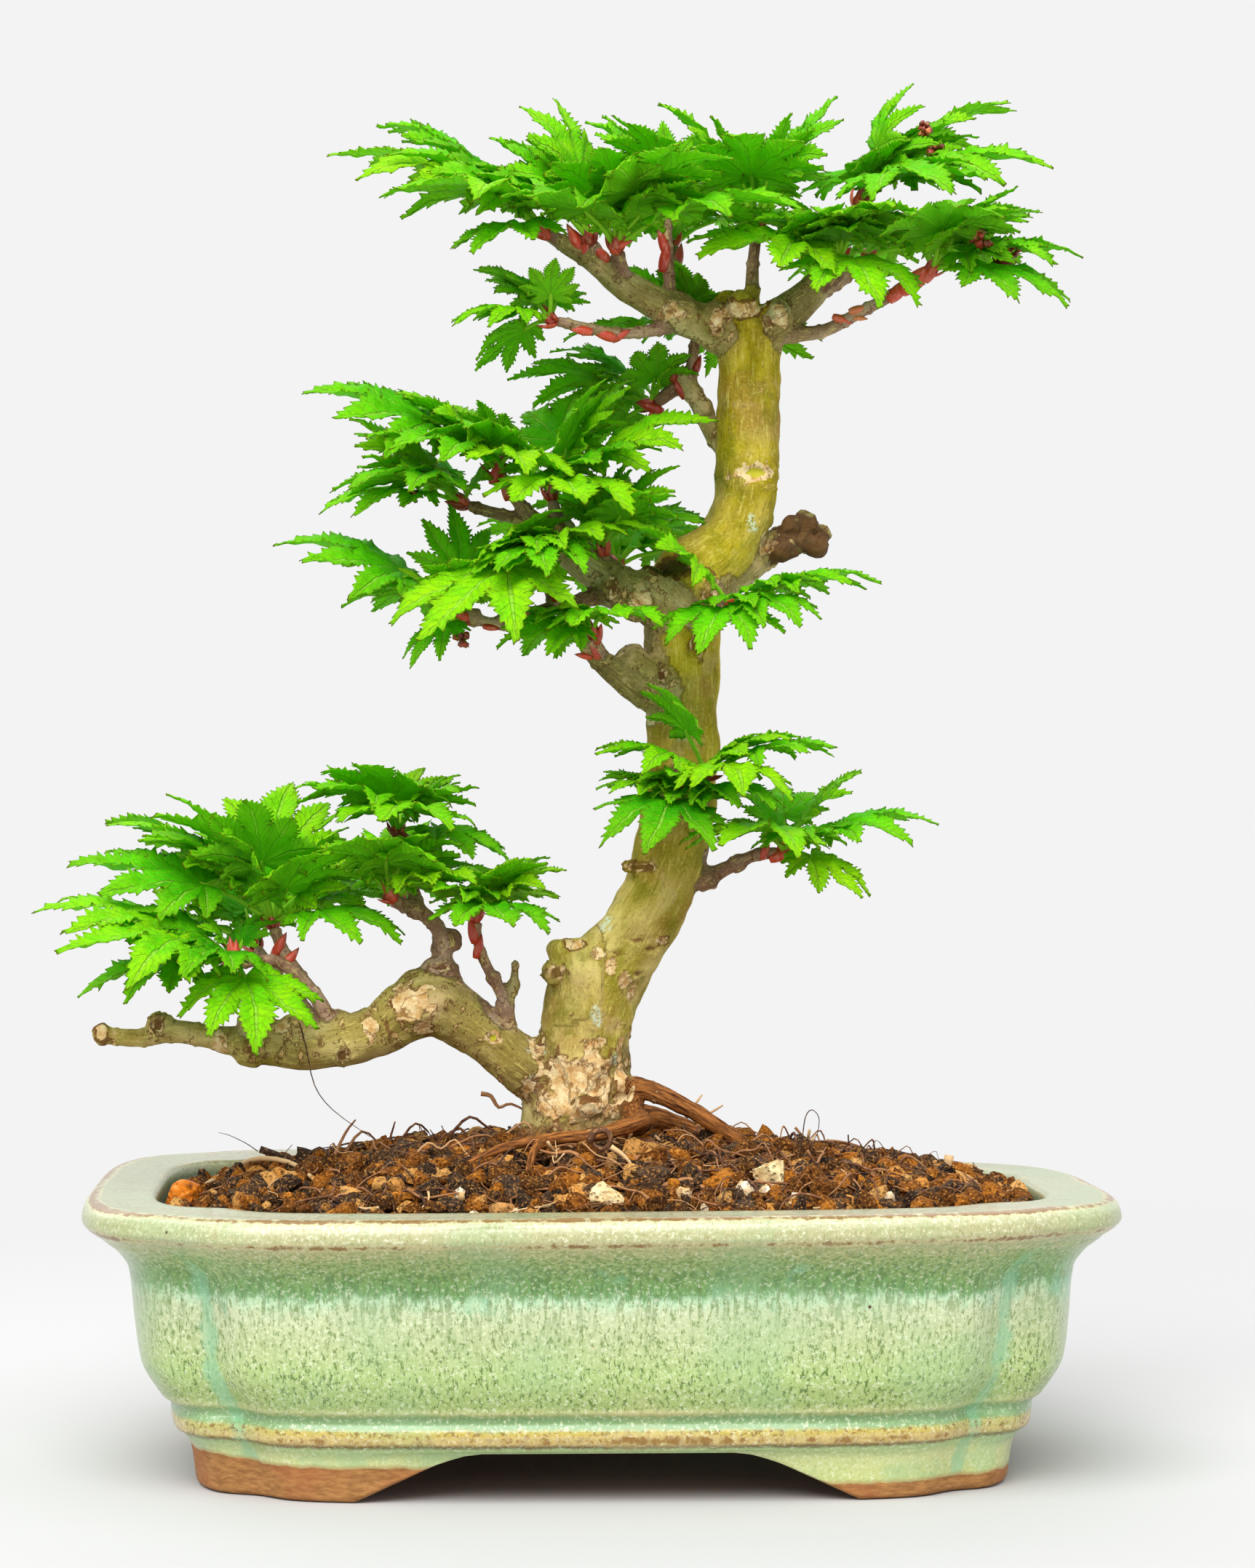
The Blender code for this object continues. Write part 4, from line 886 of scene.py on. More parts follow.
def lump_shapes(count, divisions, seed, roughness, cuts=0):
    """Unit lumps, each a rough ball of its own, with some flats broken off."""
    draw = random.Random(seed)
    shapes = []
    for _ in range(count):
        work = bmesh.new()
        bmesh.ops.create_icosphere(work, subdivisions=divisions, radius=1.0)
        shift = Vector((draw.uniform(-50, 50), draw.uniform(-50, 50), 0))
        points = [v.co * (1 + roughness * noise.noise(v.co * 1.3 + shift) * 1.6 + draw.uniform(-0.06, 0.06))
                  for v in work.verts]
        for _ in range(cuts):
            way = any_way(draw)
            flat = draw.uniform(0.5, 0.82)
            points = [p - way * max(0.0, p.dot(way) - flat) * 0.9 for p in points]
        faces = [tuple(v.index for v in f.verts) for f in work.faces]
        work.free()
        shapes.append((points, faces))
    return shapes


def any_way(draw):
    return Vector((draw.gauss(0, 1), draw.gauss(0, 1), draw.gauss(0, 1))).normalized()


def turned(draw):
    """A turn any way round."""
    first, second, third = (Matrix.Rotation(draw.uniform(0, 2 * pi), 3, axis) for axis in "ZXZ")
    return first @ second @ third


def make_grains():
    """Crumbs of baked clay soil, rusty, dark and tan, packed over the bed."""
    draw = random.Random(21)
    shapes = lump_shapes(16, 2, 5, 0.3, 7)
    heap = Heap("tone")
    made = 0
    while made < CRUMBS:
        x, y = draw.uniform(-104, 104), draw.uniform(-69, 69)
        size = draw.choice((1.1, 1.4, 1.7, 2.0, 2.4, 2.9, 3.3)) * draw.uniform(0.85, 1.2)
        on_pebble = hypot(x - PEBBLE_AT[0], y - PEBBLE_AT[1]) < PEBBLE_CLEAR + size
        if not inside_pot(x, y, size + 0.8) or hypot(x - TRUNK_X, y) < CRUMB_CLEAR or on_pebble:
            continue
        made += 1
        points, faces = draw.choice(shapes)
        turn = turned(draw)
        wide = Vector((draw.uniform(0.85, 1.3), draw.uniform(0.8, 1.15), draw.uniform(0.7, 1.0))) * size
        middle = Vector((x, y, soil_height(x, y) - 0.9 + draw.uniform(-0.3, 0.5) * size))
        tone = draw.choice((0.03, 0.14, 0.26, 0.36, 0.42, 0.5, 0.6, 0.84)) + draw.uniform(-0.07, 0.07)
        heap.add([middle + turn @ (p * wide) for p in points], faces, tone=tone)
    crumbs = heap.piece("soil_crumbs")
    take(crumbs)
    bpy.ops.object.shade_smooth_by_angle(angle=radians(32))
    return crumbs


# ---- what lies on the soil -------------------------------------------------------------------------
def touch(x, z, tree):
    """Where the sight line from EYE through (x, z) first meets a surface, and which way it faces there."""
    eye = TURNED @ Vector(EYE)
    there, normal, _, _ = tree.ray_cast(HOME + eye * MM, (seen(x, 0, z) - eye).normalized())
    if there is None:
        return None, None
    return (there - HOME) / MM, normal


def tree_of(made):
    points = [v.co.copy() for v in made.data.vertices]
    return BVHTree.FromPolygons(points, [tuple(p.vertices) for p in made.data.polygons])


def fibre(heap, path, radius, tone, sides):
    """One root hair or twig along places in mm."""
    last = max(1, len(path) - 1)
    thinning = [(*p, radius * (1 - 0.6 * i / last)) for i, p in enumerate(path)]
    skin, faces = tube_skin(smooth_path(thinning, 3, True), sides, round_ends=False)
    heap.add(skin, faces, tone=tone)


def make_fibres():
    """Fine roots that wander over and out of the soil."""
    draw = random.Random(33)
    heap = Heap("tone")
    made = 0
    while made < FIBRES:
        x, y = draw.gauss(0, 46), draw.uniform(-62, 50)
        if not inside_pot(x, y, 6) or hypot(x - TRUNK_X, y) < FIBRE_CLEAR:
            continue
        made += 1
        way, path = draw.uniform(0, 2 * pi), []
        rise = draw.choice((1.0, 1.5, 2.2, 3.2))
        steps = draw.randint(4, 7)
        for i in range(steps):
            share = i / (steps - 1)
            lift = rise * sin(pi * share) if draw.random() < 0.9 else rise * 1.6
            path.append(Vector((x, y, soil_height(x, y) - 0.6 + lift)))
            way += draw.uniform(-0.7, 0.7)
            x, y = x + cos(way) * draw.uniform(2, 5), y + sin(way) * draw.uniform(2, 5)
            if not inside_pot(x, y, 2):
                break
        if len(path) > 2:
            fibre(heap, path, draw.choice((0.16, 0.22, 0.3, 0.45)),
                  min(1.0, max(0.0, draw.gauss(0.5, 0.27))), 4)
    return heap


# Roots and bits that lie on the soil, as seen from the front: points of (x, z), radius, tone, lift.
SURFACE_ROOTS = (
    (((7.6, 75.4), (18, 75), (28, 75), (34, 74.3), (44, 70.6)), 0.9, 0.55, 0.8),
    (((3, 69.8), (13, 71.4), (18, 70.2), (23.7, 67.4)), 1.0, 0.7, 0.8),
    (((21, 80), (25, 85.6)), 0.5, 0.95, 2.0),
    (((23, 78.8), (30, 83)), 0.5, 0.9, 2.0),
    (((-28.3, 85.6), (-25.9, 83.5), (-24, 80.8), (-20.9, 81.6), (-15, 80)), 0.6, 0.7, 2.5),
    (((-95.2, 64.6), (-88, 68.4), (-81, 69.8), (-71.4, 68.6), (-64, 60.3)), 1.0, 0.95, 1.2),
    (((-65, 70), (-61, 75), (-58.5, 79.5)), 0.5, 0.62, 2.0),
    (((-62, 72), (-57, 75.5), (-52, 75)), 0.45, 0.55, 2.0),
    (((-53, 70), (-50.5, 75), (-49, 79)), 0.45, 0.6, 2.0),
    (((-50, 70), (-48, 74.5), (-44, 77.4), (-40, 76), (-38, 71)), 0.4, 0.35, 2.0),
    (((-39, 71), (-36, 76), (-31, 79), (-26, 78), (-20, 77)), 0.5, 0.3, 2.0),
    (((-17, 74.5), (-10, 76.8), (-2, 77.2), (6, 75.5)), 0.8, 0.85, 2.5),
    (((30, 71), (38, 69), (48, 66)), 0.7, 0.6, 1.0),
    (((40, 74), (50, 71), (62, 69.5), (70, 66)), 0.6, 0.35, 1.2),
    (((52, 71.5), (60, 73), (66, 70)), 0.35, 0.25, 2.0),
    (((9, 66), (16, 64.5), (22, 66), (27, 63)), 0.8, 0.75, 1.0),
    (((-50, 66), (-42, 68.5), (-35, 67)), 0.6, 0.2, 1.0),
)
# Bits that stand clear of the soil: x, depth, z, radius, tone, then points along it from there.
LOOSE_BITS = (
    (-72, -17, 104.5, 0.2, 0.05, ((0, 0), (1.6, -6), (3.6, -15), (8, -21), (17, -27.5))),
    (-90, 6, 69, 0.14, 0.1, ((8, 4.5), (5, 6.5), (1, 8.4), (-1.5, 9))),
    (0.4, -34, 76.2, 0.9, 0.3, ((-2.6, -0.4), (-1.2, 2.0), (1.4, 2.2), (2.6, 0.2), (1.4, -1.8),
                                (-0.4, -2.0), (-1.6, -0.9))),
    (3.0, -36, 74.6, 0.7, 0.97, ((0, 0), (2.4, -1.6), (4.4, -3.6), (5.6, -6.2))),
    (-4, -33, 72, 0.6, 0.75, ((0, 0), (-3, 1.4), (-7, 1.0), (-12, 2.4))),
)
CRUMB_TONES = (
    (0.0, tint(34, 20, 14)), (0.16, tint(84, 66, 52)), (0.28, tint(78, 46, 16)),
    (0.5, tint(136, 76, 14)), (0.7, tint(206, 126, 32)), (1.0, tint(240, 192, 118)),
)
ORANGE = ((0.0, tint(176, 84, 4)), (0.5, tint(216, 116, 8)), (1.0, tint(236, 150, 30)))
# The pumices: piece, finish, light and deep colours, the colour of the painted shade in their pits, how
# sharply broken.
PUMICES = (
    ("pumice_front", "pumice_cream", (244, 226, 176), (232, 200, 138), (170, 112, 62), 0.42),
    ("pumice_right", "pumice_yellow", (240, 224, 170), (206, 170, 112), (112, 70, 36), 0.55),
    ("pumice_small", "pumice_tan", (226, 176, 104), (198, 142, 76), (112, 66, 30), 0.35),
)
# Pale chips on the soil, as seen from the front: x, z and size.
CHIPS = (
    (-30.5, 55.8, 1.6), (-20.5, 57, 1.3), (20.6, 61.8, 1.9), (3.2, 78.6, 1.3), (-33, 61.5, 1.7),
    (48, 60, 2.0), (14, 63.5, 1.2), (70, 61, 1.6), (-60, 60, 1.4), (26, 58, 1.4),
    (35.4, 62.4, 2.3), (41.6, 66.8, 2.0), (40.5, 61.6, 2.2), (37.2, 68.4, 1.8),
)
# Dead bits that have a solid of their own: places (x, y, z), radius and tone.
DEAD_BITS = {
    "dead_root_left": (((-81.5, 6, 74), (-74.5, 7, 71.5), (-68, 8, 67.5), (-66, 8, 64)), 0.9, 0.05),
    "dead_twig_right": (((84.5, 4, 72.5), (83.8, 4, 68), (83, 4, 61)), 1.2, 0.95),
    "dead_root_loop": (((46.5, -19, 66), (48.9, -19, 75.6), (49.8, -19, 81.6), (51.4, -19, 83.5),
                        (53.1, -19, 81.6), (52.7, -19, 77.8), (50.9, -19, 73.5), (49.2, -19, 66)),
                       0.16, 0.0),
}


def stone_piece(name, finish, slot, sharp):
    """One stone at its place in the CAD, with a broken or worn skin."""
    low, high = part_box(name)
    nothing_selected()
    bpy.ops.mesh.primitive_ico_sphere_add(subdivisions=4, radius=1, location=(0, 0, 0))
    made = bpy.context.active_object
    made.name = name + "_worn"
    half, middle = (high - low) * 0.54, (high + low) / 2
    shift = Vector((len(name) * 7.3, 0, 0))
    draw = random.Random(name)
    cuts = [(any_way(draw), draw.uniform(0.55, 0.8)) for _ in range(round(sharp * 22))]
    for v in made.data.vertices:
        way = v.co.normalized()
        flat_way = way.copy()
        for facing, flat in cuts:
            flat_way -= facing * max(0.0, flat_way.dot(facing) - flat) * 0.9
        facets = sharp * (abs(noise.noise(way * 1.6 + shift)) * 0.9 - 0.12)
        small = noise.noise(way * 5 + shift) * 0.05 * (1 + sharp)
        reach = 0.97 - facets + small
        v.co = Vector((flat_way.x * half.x, flat_way.y * half.y, flat_way.z * half.z)) * reach + middle
    bpy.ops.object.shade_smooth_by_angle(angle=radians(22))
    return settle(made, finish, slot, name)


def make_ground():
    crumb = lump_finish("soil_crumb", CRUMB_TONES)
    bed = settle(make_soil(), crumb, "soil_grains", "soil")
    settle(make_grains(), crumb, "soil_grains")
    ground = tree_of(bed)
    draw = random.Random(8)
    heap = make_fibres()
    for path, radius, tone, lift in SURFACE_ROOTS:
        places = []
        for i, (x, z) in enumerate(path):
            there, _ = touch(x, z - lift, ground)
            if there is None:
                there = seen(x, 0, z)
            ends = 0.4 if i in (0, len(path) - 1) else 1.0
            places.append(there + Vector((0, 0, lift * ends + 0.8)))
        fibre(heap, places, radius, tone, 8)
    for x, y, z_shift, radius, tone, path in LOOSE_BITS:
        fibre(heap, [seen(x + u, y, z_shift + v) for u, v in path], radius, tone, 6)
    fibres = fibre_finish()
    settle(heap.piece("fine_roots"), fibres, "dead_root")
    for name, (path, radius, tone) in DEAD_BITS.items():
        bit = Heap("tone")
        fibre(bit, [seen(*p) for p in path], radius, tone, 8)
        settle(bit.piece(name + "_dry"), fibres, "dead_root", name)
    orange = lump_finish("orange_stone", ORANGE, 1.6, 0.45, 0.5)
    stone_piece("pebble_orange", orange, "orange_stone", 0.12)
    for name, colour, light, deep, pit_shade, sharp in PUMICES:
        stone_piece(name, pumice(colour, tint(*light), tint(*deep), tint(*pit_shade)), "pale_pumice", sharp)
    chips = Heap("tone")
    shapes = lump_shapes(4, 2, 15, 0.4)
    for x, z, size in CHIPS:
        there, _ = touch(x, z, ground)
        if there is None:
            continue
        points, faces = draw.choice(shapes)
        turn = turned(draw)
        middle = there + Vector((0, 0, 1.2))
        chips.add([middle + turn @ (p * size) for p in points], faces, tone=draw.uniform(0.3, 1))
    pale = pumice("pale_chip", tint(246, 236, 208), tint(222, 182, 124), tint(150, 96, 54))
    settle(chips.piece("pale_chips"), pale, "pale_pumice")
    plastic = netting()
    for name in ("drain_mesh_left", "drain_mesh_right"):
        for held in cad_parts[name].material_slots:
            held.material = plastic
    return ground


# ---- the wood --------------------------------------------------------------------------------------
VOXEL = 0.72
# Marks on the bark, as seen from the front: x, z, half width, half height, kind.
MARKS = (
    (34, 276, 5, 2, "cut"), (29, 271, 1.6, 1.6, "knot"), (41, 273, 1.6, 1.8, "knot"),
    (38, 237, 6.2, 2.5, "eye"), (37, 225, 1.3, 2.6, "lichen"), (17.6, 214.5, 6.0, 2.6, "dark"),
    (50, 223, 5.0, 4.0, "husk"), (53, 219.6, 3.6, 4.2, "husk"), (45.6, 223.4, 3.4, 3.4, "husk"),
    (44, 218, 3.4, 3.4, "husk"), (15, 188, 1.5, 1.7, "knot"), (11, 142, 3.6, 1.4, "knot"),
    (15.6, 124.4, 1.4, 1.2, "cut"), (9.6, 124.4, 4.2, 1.3, "crease"), (12.5, 122.4, 3.2, 1.2, "crease"),
    (-10, 116.3, 2.3, 2.1, "knot"), (-5.4, 123.4, 3.0, 1.4, "cut"), (-0.2, 121.0, 2.4, 1.6, "patch"),
    (3.0, 118.0, 1.6, 2.4, "patch"), (6.2, 114.4, 1.9, 2.2, "patch"), (8.4, 111.6, 1.7, 2.4, "patch"),
    (9.5, 116.4, 3.0, 1.2, "crease"), (4.2, 121.2, 3.0, 1.2, "crease"), (-5.0, 90.5, 9.5, 6.6, "torn"),
    (-0.2, 99.5, 2.3, 1.7, "patch"), (-1.6, 93.6, 2.4, 2.2, "burl"), (5.0, 98, 1.2, 4.5, "patch"),
    (5.2, 91.5, 1.3, 3.5, "patch"), (-10.5, 83.4, 4.0, 2.2, "collar"), (-4, 83, 5.0, 2.4, "collar"),
    (2.2, 83.6, 3.4, 2.2, "collar"), (-13.7, 97.8, 1.8, 1.6, "lichen"),
    (-15.8, 89.8, 1.8, 2.4, "lichen"), (3.7, 95.7, 1.3, 1.4, "lichen"), (-15.6, 98.4, 1.1, 3.8, "patch"),
    (-25.2, 100.8, 2.2, 1.9, "eye"), (-45, 108.5, 2.6, 3.4, "patch"), (-38, 118, 2.6, 1.2, "knot"),
    (-42.5, 103.5, 2.0, 2.6, "patch"), (-61.5, 96.6, 1.5, 2.2, "knot"), (-51, 104, 1.0, 3.6, "crease"),
    (-46, 109.5, 3.8, 4.6, "torn"), (-55, 103.8, 1.8, 3.0, "patch"), (-67, 99.6, 1.4, 3.4, "crease"),
    (-91, 99, 2.2, 2.6, "patch"), (-83, 97.5, 2.6, 1.8, "knot"), (-76, 103.5, 1.8, 2.0, "patch"),
    (-106, 104, 1.7, 1.6, "knot"), (-119.6, 102, 1.4, 2.0, "cut"), (-9.4, 221.8, 3.0, 2.6, "cut"),
    (10, 207, 2.8, 4.2, "patch"), (3.5, 209.5, 1.4, 2.8, "knot"), (27, 206.5, 2.0, 3.0, "knot"),
    (16.6, 276, 3.6, 2.2, "patch"), (28.5, 274, 2.0, 3.0, "patch"), (44, 275, 2.0, 3.2, "patch"),
    (20, 176, 1.4, 3.2, "lichen"), (-0.5, 106, 1.6, 2.6, "lichen"), (2, 128, 1.6, 2.4, "lichen"),
    (24, 196, 2.2, 4.0, "knot"), (46.5, 221, 1.6, 2.8, "crease"),
)
BACK_MARKS = 26
# Swollen knobs: x, y, z and radius, as seen from the front.
KNOBS = (
    (49.5, 6, 224.6, 3.1), (52.6, 6, 219.2, 2.7), (46.4, 4, 224.2, 2.6), (54.0, 7, 222.4, 2.0),
    (44, 2, 218.2, 3.0), (-9.4, -10, 222.4, 4.6), (-7.0, -13, 219.5, 3.0), (3.4, -11, 208.6, 4.4),
    (9.5, -12, 205.2, 4.4), (12.4, -9, 211.5, 3.6), (-38, -8, 115.5, 5.2), (-35.6, -8, 124.5, 3.0),
    (-44, -9, 131.8, 2.5), (-84, -11, 99, 5.3), (-80, -12, 103.4, 3.2), (-106.4, -10, 104.4, 2.6),
    (-104, -10, 103.6, 2.7), (-119.5, -10, 101.8, 2.5), (-62, -9, 104.8, 3.0), (-74, -12, 103, 3.4),
    (28.4, -5, 273.6, 4.4), (42.8, -4, 274.6, 4.6), (19.4, -5, 275.6, 4.8), (35, -6, 277.2, 3.6),
    (31, 2, 277, 4), (26.4, -6, 210.5, 3.6), (28.8, -4, 204.8, 3.4), (14.0, -8, 203.6, 4.0),
    (8.4, -11, 189.6, 3.8), (25.2, 9, 252.6, 2.7), (23.5, -12, 161, 3.0), (17.8, -11, 157, 2.8),
    (7.5, -10, 142, 1.6), (-10.6, -8, 116.4, 3.0), (-9.2, -7, 121.6, 3.0), (-2.0, -10.6, 93.6, 3.6),
    (-8.4, -7, 94.6, 4.2), (4.6, -8.4, 89.5, 3.0), (-12, -8, 85.5, 4.4), (-3, -10.6, 84.6, 4.2),
    (7.0, -7, 84, 3.8), (-14.5, -5, 99.0, 2.6), (55.6, -3, 284.9, 3.7), (33.6, -8, 143.0, 2.4),
    (26.5, -7, 139.4, 3.0), (-22.4, -8, 108.6, 2.4), (-25.2, -9, 115, 2.0), (-20.4, -8, 113.6, 1.8),
    (-30.4, -13, 202.2, 2.3), (-23.2, -13, 201, 2.2),
)
ROOT_SLIM = {"root_front": 0.6, "root_pale": 0.62, "root_right": 0.92, "root_left": 0.7}


def wood_paths():
    paths = {"trunk": TRUNK, **BRANCHES, **ROOTS}
    for name, (twig, _) in SHOOTS.items():
        paths["twig_" + name] = twig
    return paths


def age_of(name):
    """1 for the old green trunk, less for grey branches, 0 for young twigs."""
    if name in ("trunk", "old_leader"):
        return 1.0
    if name == "low_branch":
        return 0.62
    return 0.42 if name in BRANCHES and name != "top_front_twig" else 0.5 if name in ROOTS else 0.1


def make_wood():
    heap = Heap()
    samples = []  # place, radius, along, across, third, distance, age, whether a root, name
    for name, path in wood_paths().items():
        thick = max(p[3] for p in path[1:])
        points = smooth_path(path, 8 if thick > 3 else 5)
        slim = ROOT_SLIM.get(name, 1.0)
        points = [Vector((*p[:3], p[3] * slim)) for p in points]
        sides = 32 if thick > 9 else 22 if thick > 3.5 else 14
        heap.add(*tube_skin(points, sides))
        gone = 0.0
        frames = path_frames(points)
        for i, (there, along, across, third) in enumerate(frames):
            if i:
                gone += (there - frames[i - 1][0]).length
            samples.append((there, points[i][3], along, across, third, gone, age_of(name),
                            name in ROOTS, name))
    for shape, (x, y, z, radius) in zip(lump_shapes(len(KNOBS), 3, 77, 0.07), KNOBS):
        middle = seen(x, y, z)
        heap.add([middle + p * radius for p in shape[0]], shape[1])
    wood = heap.piece("bonsai_wood")
    outward(wood)
    wood.data.remesh_voxel_size = VOXEL * MM
    take(wood)
    bpy.ops.object.voxel_remesh()
    modified(wood, "SMOOTH", factor=0.5, iterations=5)
    shape_bark(wood, samples)
    return wood, samples


def nearest_sample(tree, samples, there):
    best, least = None, 1e9
    for _, index, distance in tree.find_n(there, 7):
        off = distance - samples[index][1]
        if off < least:
            best, least = samples[index], off
    return best


def mark_places(skin, samples):
    """Each mark's middle, the two ways across it, its half sizes and its kind."""
    places = []
    for x, z, wide, tall, kind in MARKS:
        there, normal = touch(x, z, skin)
        if there is not None:
            places.append((there, normal, wide, tall, kind))
    draw = random.Random(12)
    thick = [s for s in samples if s[1] > 3.6 and not s[7]]
    for _ in range(BACK_MARKS):
        sample = draw.choice(thick)
        way = Vector((draw.uniform(-0.8, 0.8), draw.uniform(0.25, 1), draw.uniform(-0.3, 0.3))).normalized()
        hit, normal, _, _ = skin.find_nearest(HOME + (sample[0] + way * sample[1]) * MM)
        size = draw.uniform(1.2, 2.8)
        places.append(((hit - HOME) / MM, normal, size * draw.uniform(0.8, 1.7), size,
                       draw.choice(("knot", "patch", "lichen", "knot", "crease", "patch"))))
    out = []
    for there, normal, wide, tall, kind in places:
        right = UP.cross(normal)
        right = right.normalized() if right.length > 0.2 else Vector((1, 0, 0))
        out.append((there, normal, right, normal.cross(right), wide, tall, kind))
    return out


def mark_effect(kind, d):
    """How far a mark lifts the bark, in mm, and what it paints, at d of its half size from its middle."""
    ring = exp(-((d - 1.05) / 0.26) ** 2)
    core = smooth_step((1.05 - d) / 0.3)
    if kind == "cut":
        return 0.5 * ring - 0.15 * core, {"cream": core, "brown": ring * 0.9}
    if kind == "eye":
        inner = smooth_step((0.46 - d) / 0.14)
        return 0.65 * ring - 0.55 * inner, {"cream": max(0.0, core - inner) * 0.9, "eye": inner,
                                            "brown": 0.5 * exp(-((d - 1.15) / 0.16) ** 2)}
    if kind == "patch":
        return -0.2 * core + 0.22 * ring, {"cream": core * 0.95, "brown": 0.6 * ring}
    if kind == "knot":
        lift = 0.7 * ring - 0.5 * core + 0.2 * exp(-(d / 0.35) ** 2)
        return lift, {"brown": max(core * 0.7, ring * 0.65), "cream": 0.65 * exp(-((d - 0.75) / 0.25) ** 2)}
    if kind == "burl":
        swirl = 0.5 + 0.5 * cos(d * 9)
        fade = smooth_step((2.0 - d) / 0.9)
        lift = (0.55 * swirl - 0.5 * exp(-(d / 0.3) ** 2)) * fade
        return lift, {"brown": (1 - swirl) * fade, "cream": swirl * fade * 0.8}
    if kind == "crease":
        lift = 0.25 * ring - 0.45 * exp(-(d / 0.5) ** 2)
        return lift, {"brown": exp(-(d / 0.7) ** 2) * 0.8, "cream": ring * 0.4}
    if kind == "collar":
        return 0.35 * core, {"cream": core * 0.75, "brown": ring * 0.6}
    if kind == "husk":
        return 0.4 * ring, {"brown": core, "dark": 0.5 * core + 0.5 * ring}
    if kind == "torn":
        return 0.35 * ring - 0.3 * core, {"cream": core, "brown": 0.75 * ring}
    if kind == "dark":
        return -0.8 * core, {"dark": core, "brown": ring}
    return 0.1 * core, {"lichen": core * 0.8}


def shape_bark(wood, samples):
    """Lumps, streaks, node rings and scars, and what the bark's finish reads of them."""
    tree = KDTree(len(samples))
    for i, sample in enumerate(samples):
        tree.insert(sample[0], i)
    tree.balance()
    skin = tree_of(wood)
    mesh = wood.data
    spots = [(v.co - HOME) / MM for v in mesh.vertices]
    normals = [v.normal.copy() for v in mesh.vertices]
    count = len(spots)
    floats = {name: [0.0] * count for name in ("age", "root", "cream", "brown", "eye", "dark", "lichen")}
    grain = [0.0] * (3 * count)
    lifts = [0.0] * count
    for i, there in enumerate(spots):
        place, radius, along, across, third, gone, age, root, name = nearest_sample(tree, samples, there)
        off = there - place
        u, v, w = off.dot(across), off.dot(third), gone + off.dot(along)
        grain[3 * i:3 * i + 3] = (u * MM, v * MM, (w + 37.0 * (len(name) % 7)) * MM)
        floats["age"][i] = age + 0.16 * noise.noise(there / 14)
        from_trunk = hypot(there.x + 4.5, there.y) - 13.2
        if root:
            floats["root"][i] = smooth_step(from_trunk / 3.0 + 0.3)
        floats["root"][i] = max(floats["root"][i], smooth_step((80.5 - there.z) / 3.0))
        size = min(1.0, radius / 8)
        lift = noise.noise(there / 9) * 0.9 * size + noise.noise(there / 3.4) * 0.42 * size
        lift += noise.noise(Vector((u, v, w * 0.4)) / 1.8) * 0.16 * size ** 0.5
        if radius < 3.0 and not root:
            lift += 0.34 * exp(-(((gone + off.dot(along)) % 6.5 - 3.2) / 0.55) ** 2)
        if root:
            lift += noise.noise(Vector((u, v, w * 0.35)) / 1.1) * 0.25
        lifts[i] = lift
    near = KDTree(count)
    for i, there in enumerate(spots):
        near.insert(there, i)
    near.balance()
    for there, normal, right, up, wide, tall, kind in mark_places(skin, samples):
        for _, i, _ in near.find_range(there, 2.2 * max(wide, tall)):
            off = spots[i] - there
            if normals[i].dot(normal) < -0.1:
                continue
            ragged = 1 + 0.55 * noise.noise(spots[i] / 2.3) + 0.25 * noise.noise(spots[i] / 0.9)
            if kind == "torn":
                ragged += 0.9 * noise.noise(spots[i] / 4.2) + 0.35 * noise.noise(spots[i] / 1.7)
            d = hypot(off.dot(right) / wide, off.dot(up) / tall) * ragged
            lift, paint = mark_effect(kind, d)
            lifts[i] += lift
            for key, much in paint.items():
                floats[key][i] = max(floats[key][i], much)
    for i, v in enumerate(mesh.vertices):
        v.co = v.co + normals[i] * (lifts[i] * MM)
    for key, numbers in floats.items():
        mesh.attributes.new(key, "FLOAT", "POINT").data.foreach_set("value", numbers)
    mesh.attributes.new("grain", "FLOAT_VECTOR", "POINT").data.foreach_set("vector", grain)
    mesh.polygons.foreach_set("use_smooth", [True] * len(mesh.polygons))


# ---- the leaves ---------------------------------------------------------------------------------------
LOBES = ((0, 1.0), (33, 0.88), (66, 0.70), (102, 0.45))
SINUS = (0.41, 0.35, 0.24)  # how far from the base each pair of lobes parts
WEB = (0.0, 0.08, 0.16, 0.24, 0.295, 0.35, 0.41)
BLADE_KINDS = 9


def lobe_edge(d, reach, gap, sinus, swell):
    """A lobe's half width at d along it: joined to its neighbour up to the sinus, then its own."""
    joined = tan(radians(gap / 2)) * d
    if d <= sinus:
        return joined
    u = (d - sinus) / (reach - sinus)
    bulge = swell * reach * sin(pi * u ** 0.85) ** 0.9 * (1 - 0.25 * u)
    own = tan(radians(gap / 2)) * sinus * (1 - u) + bulge
    return min(joined, max(0.0, own))


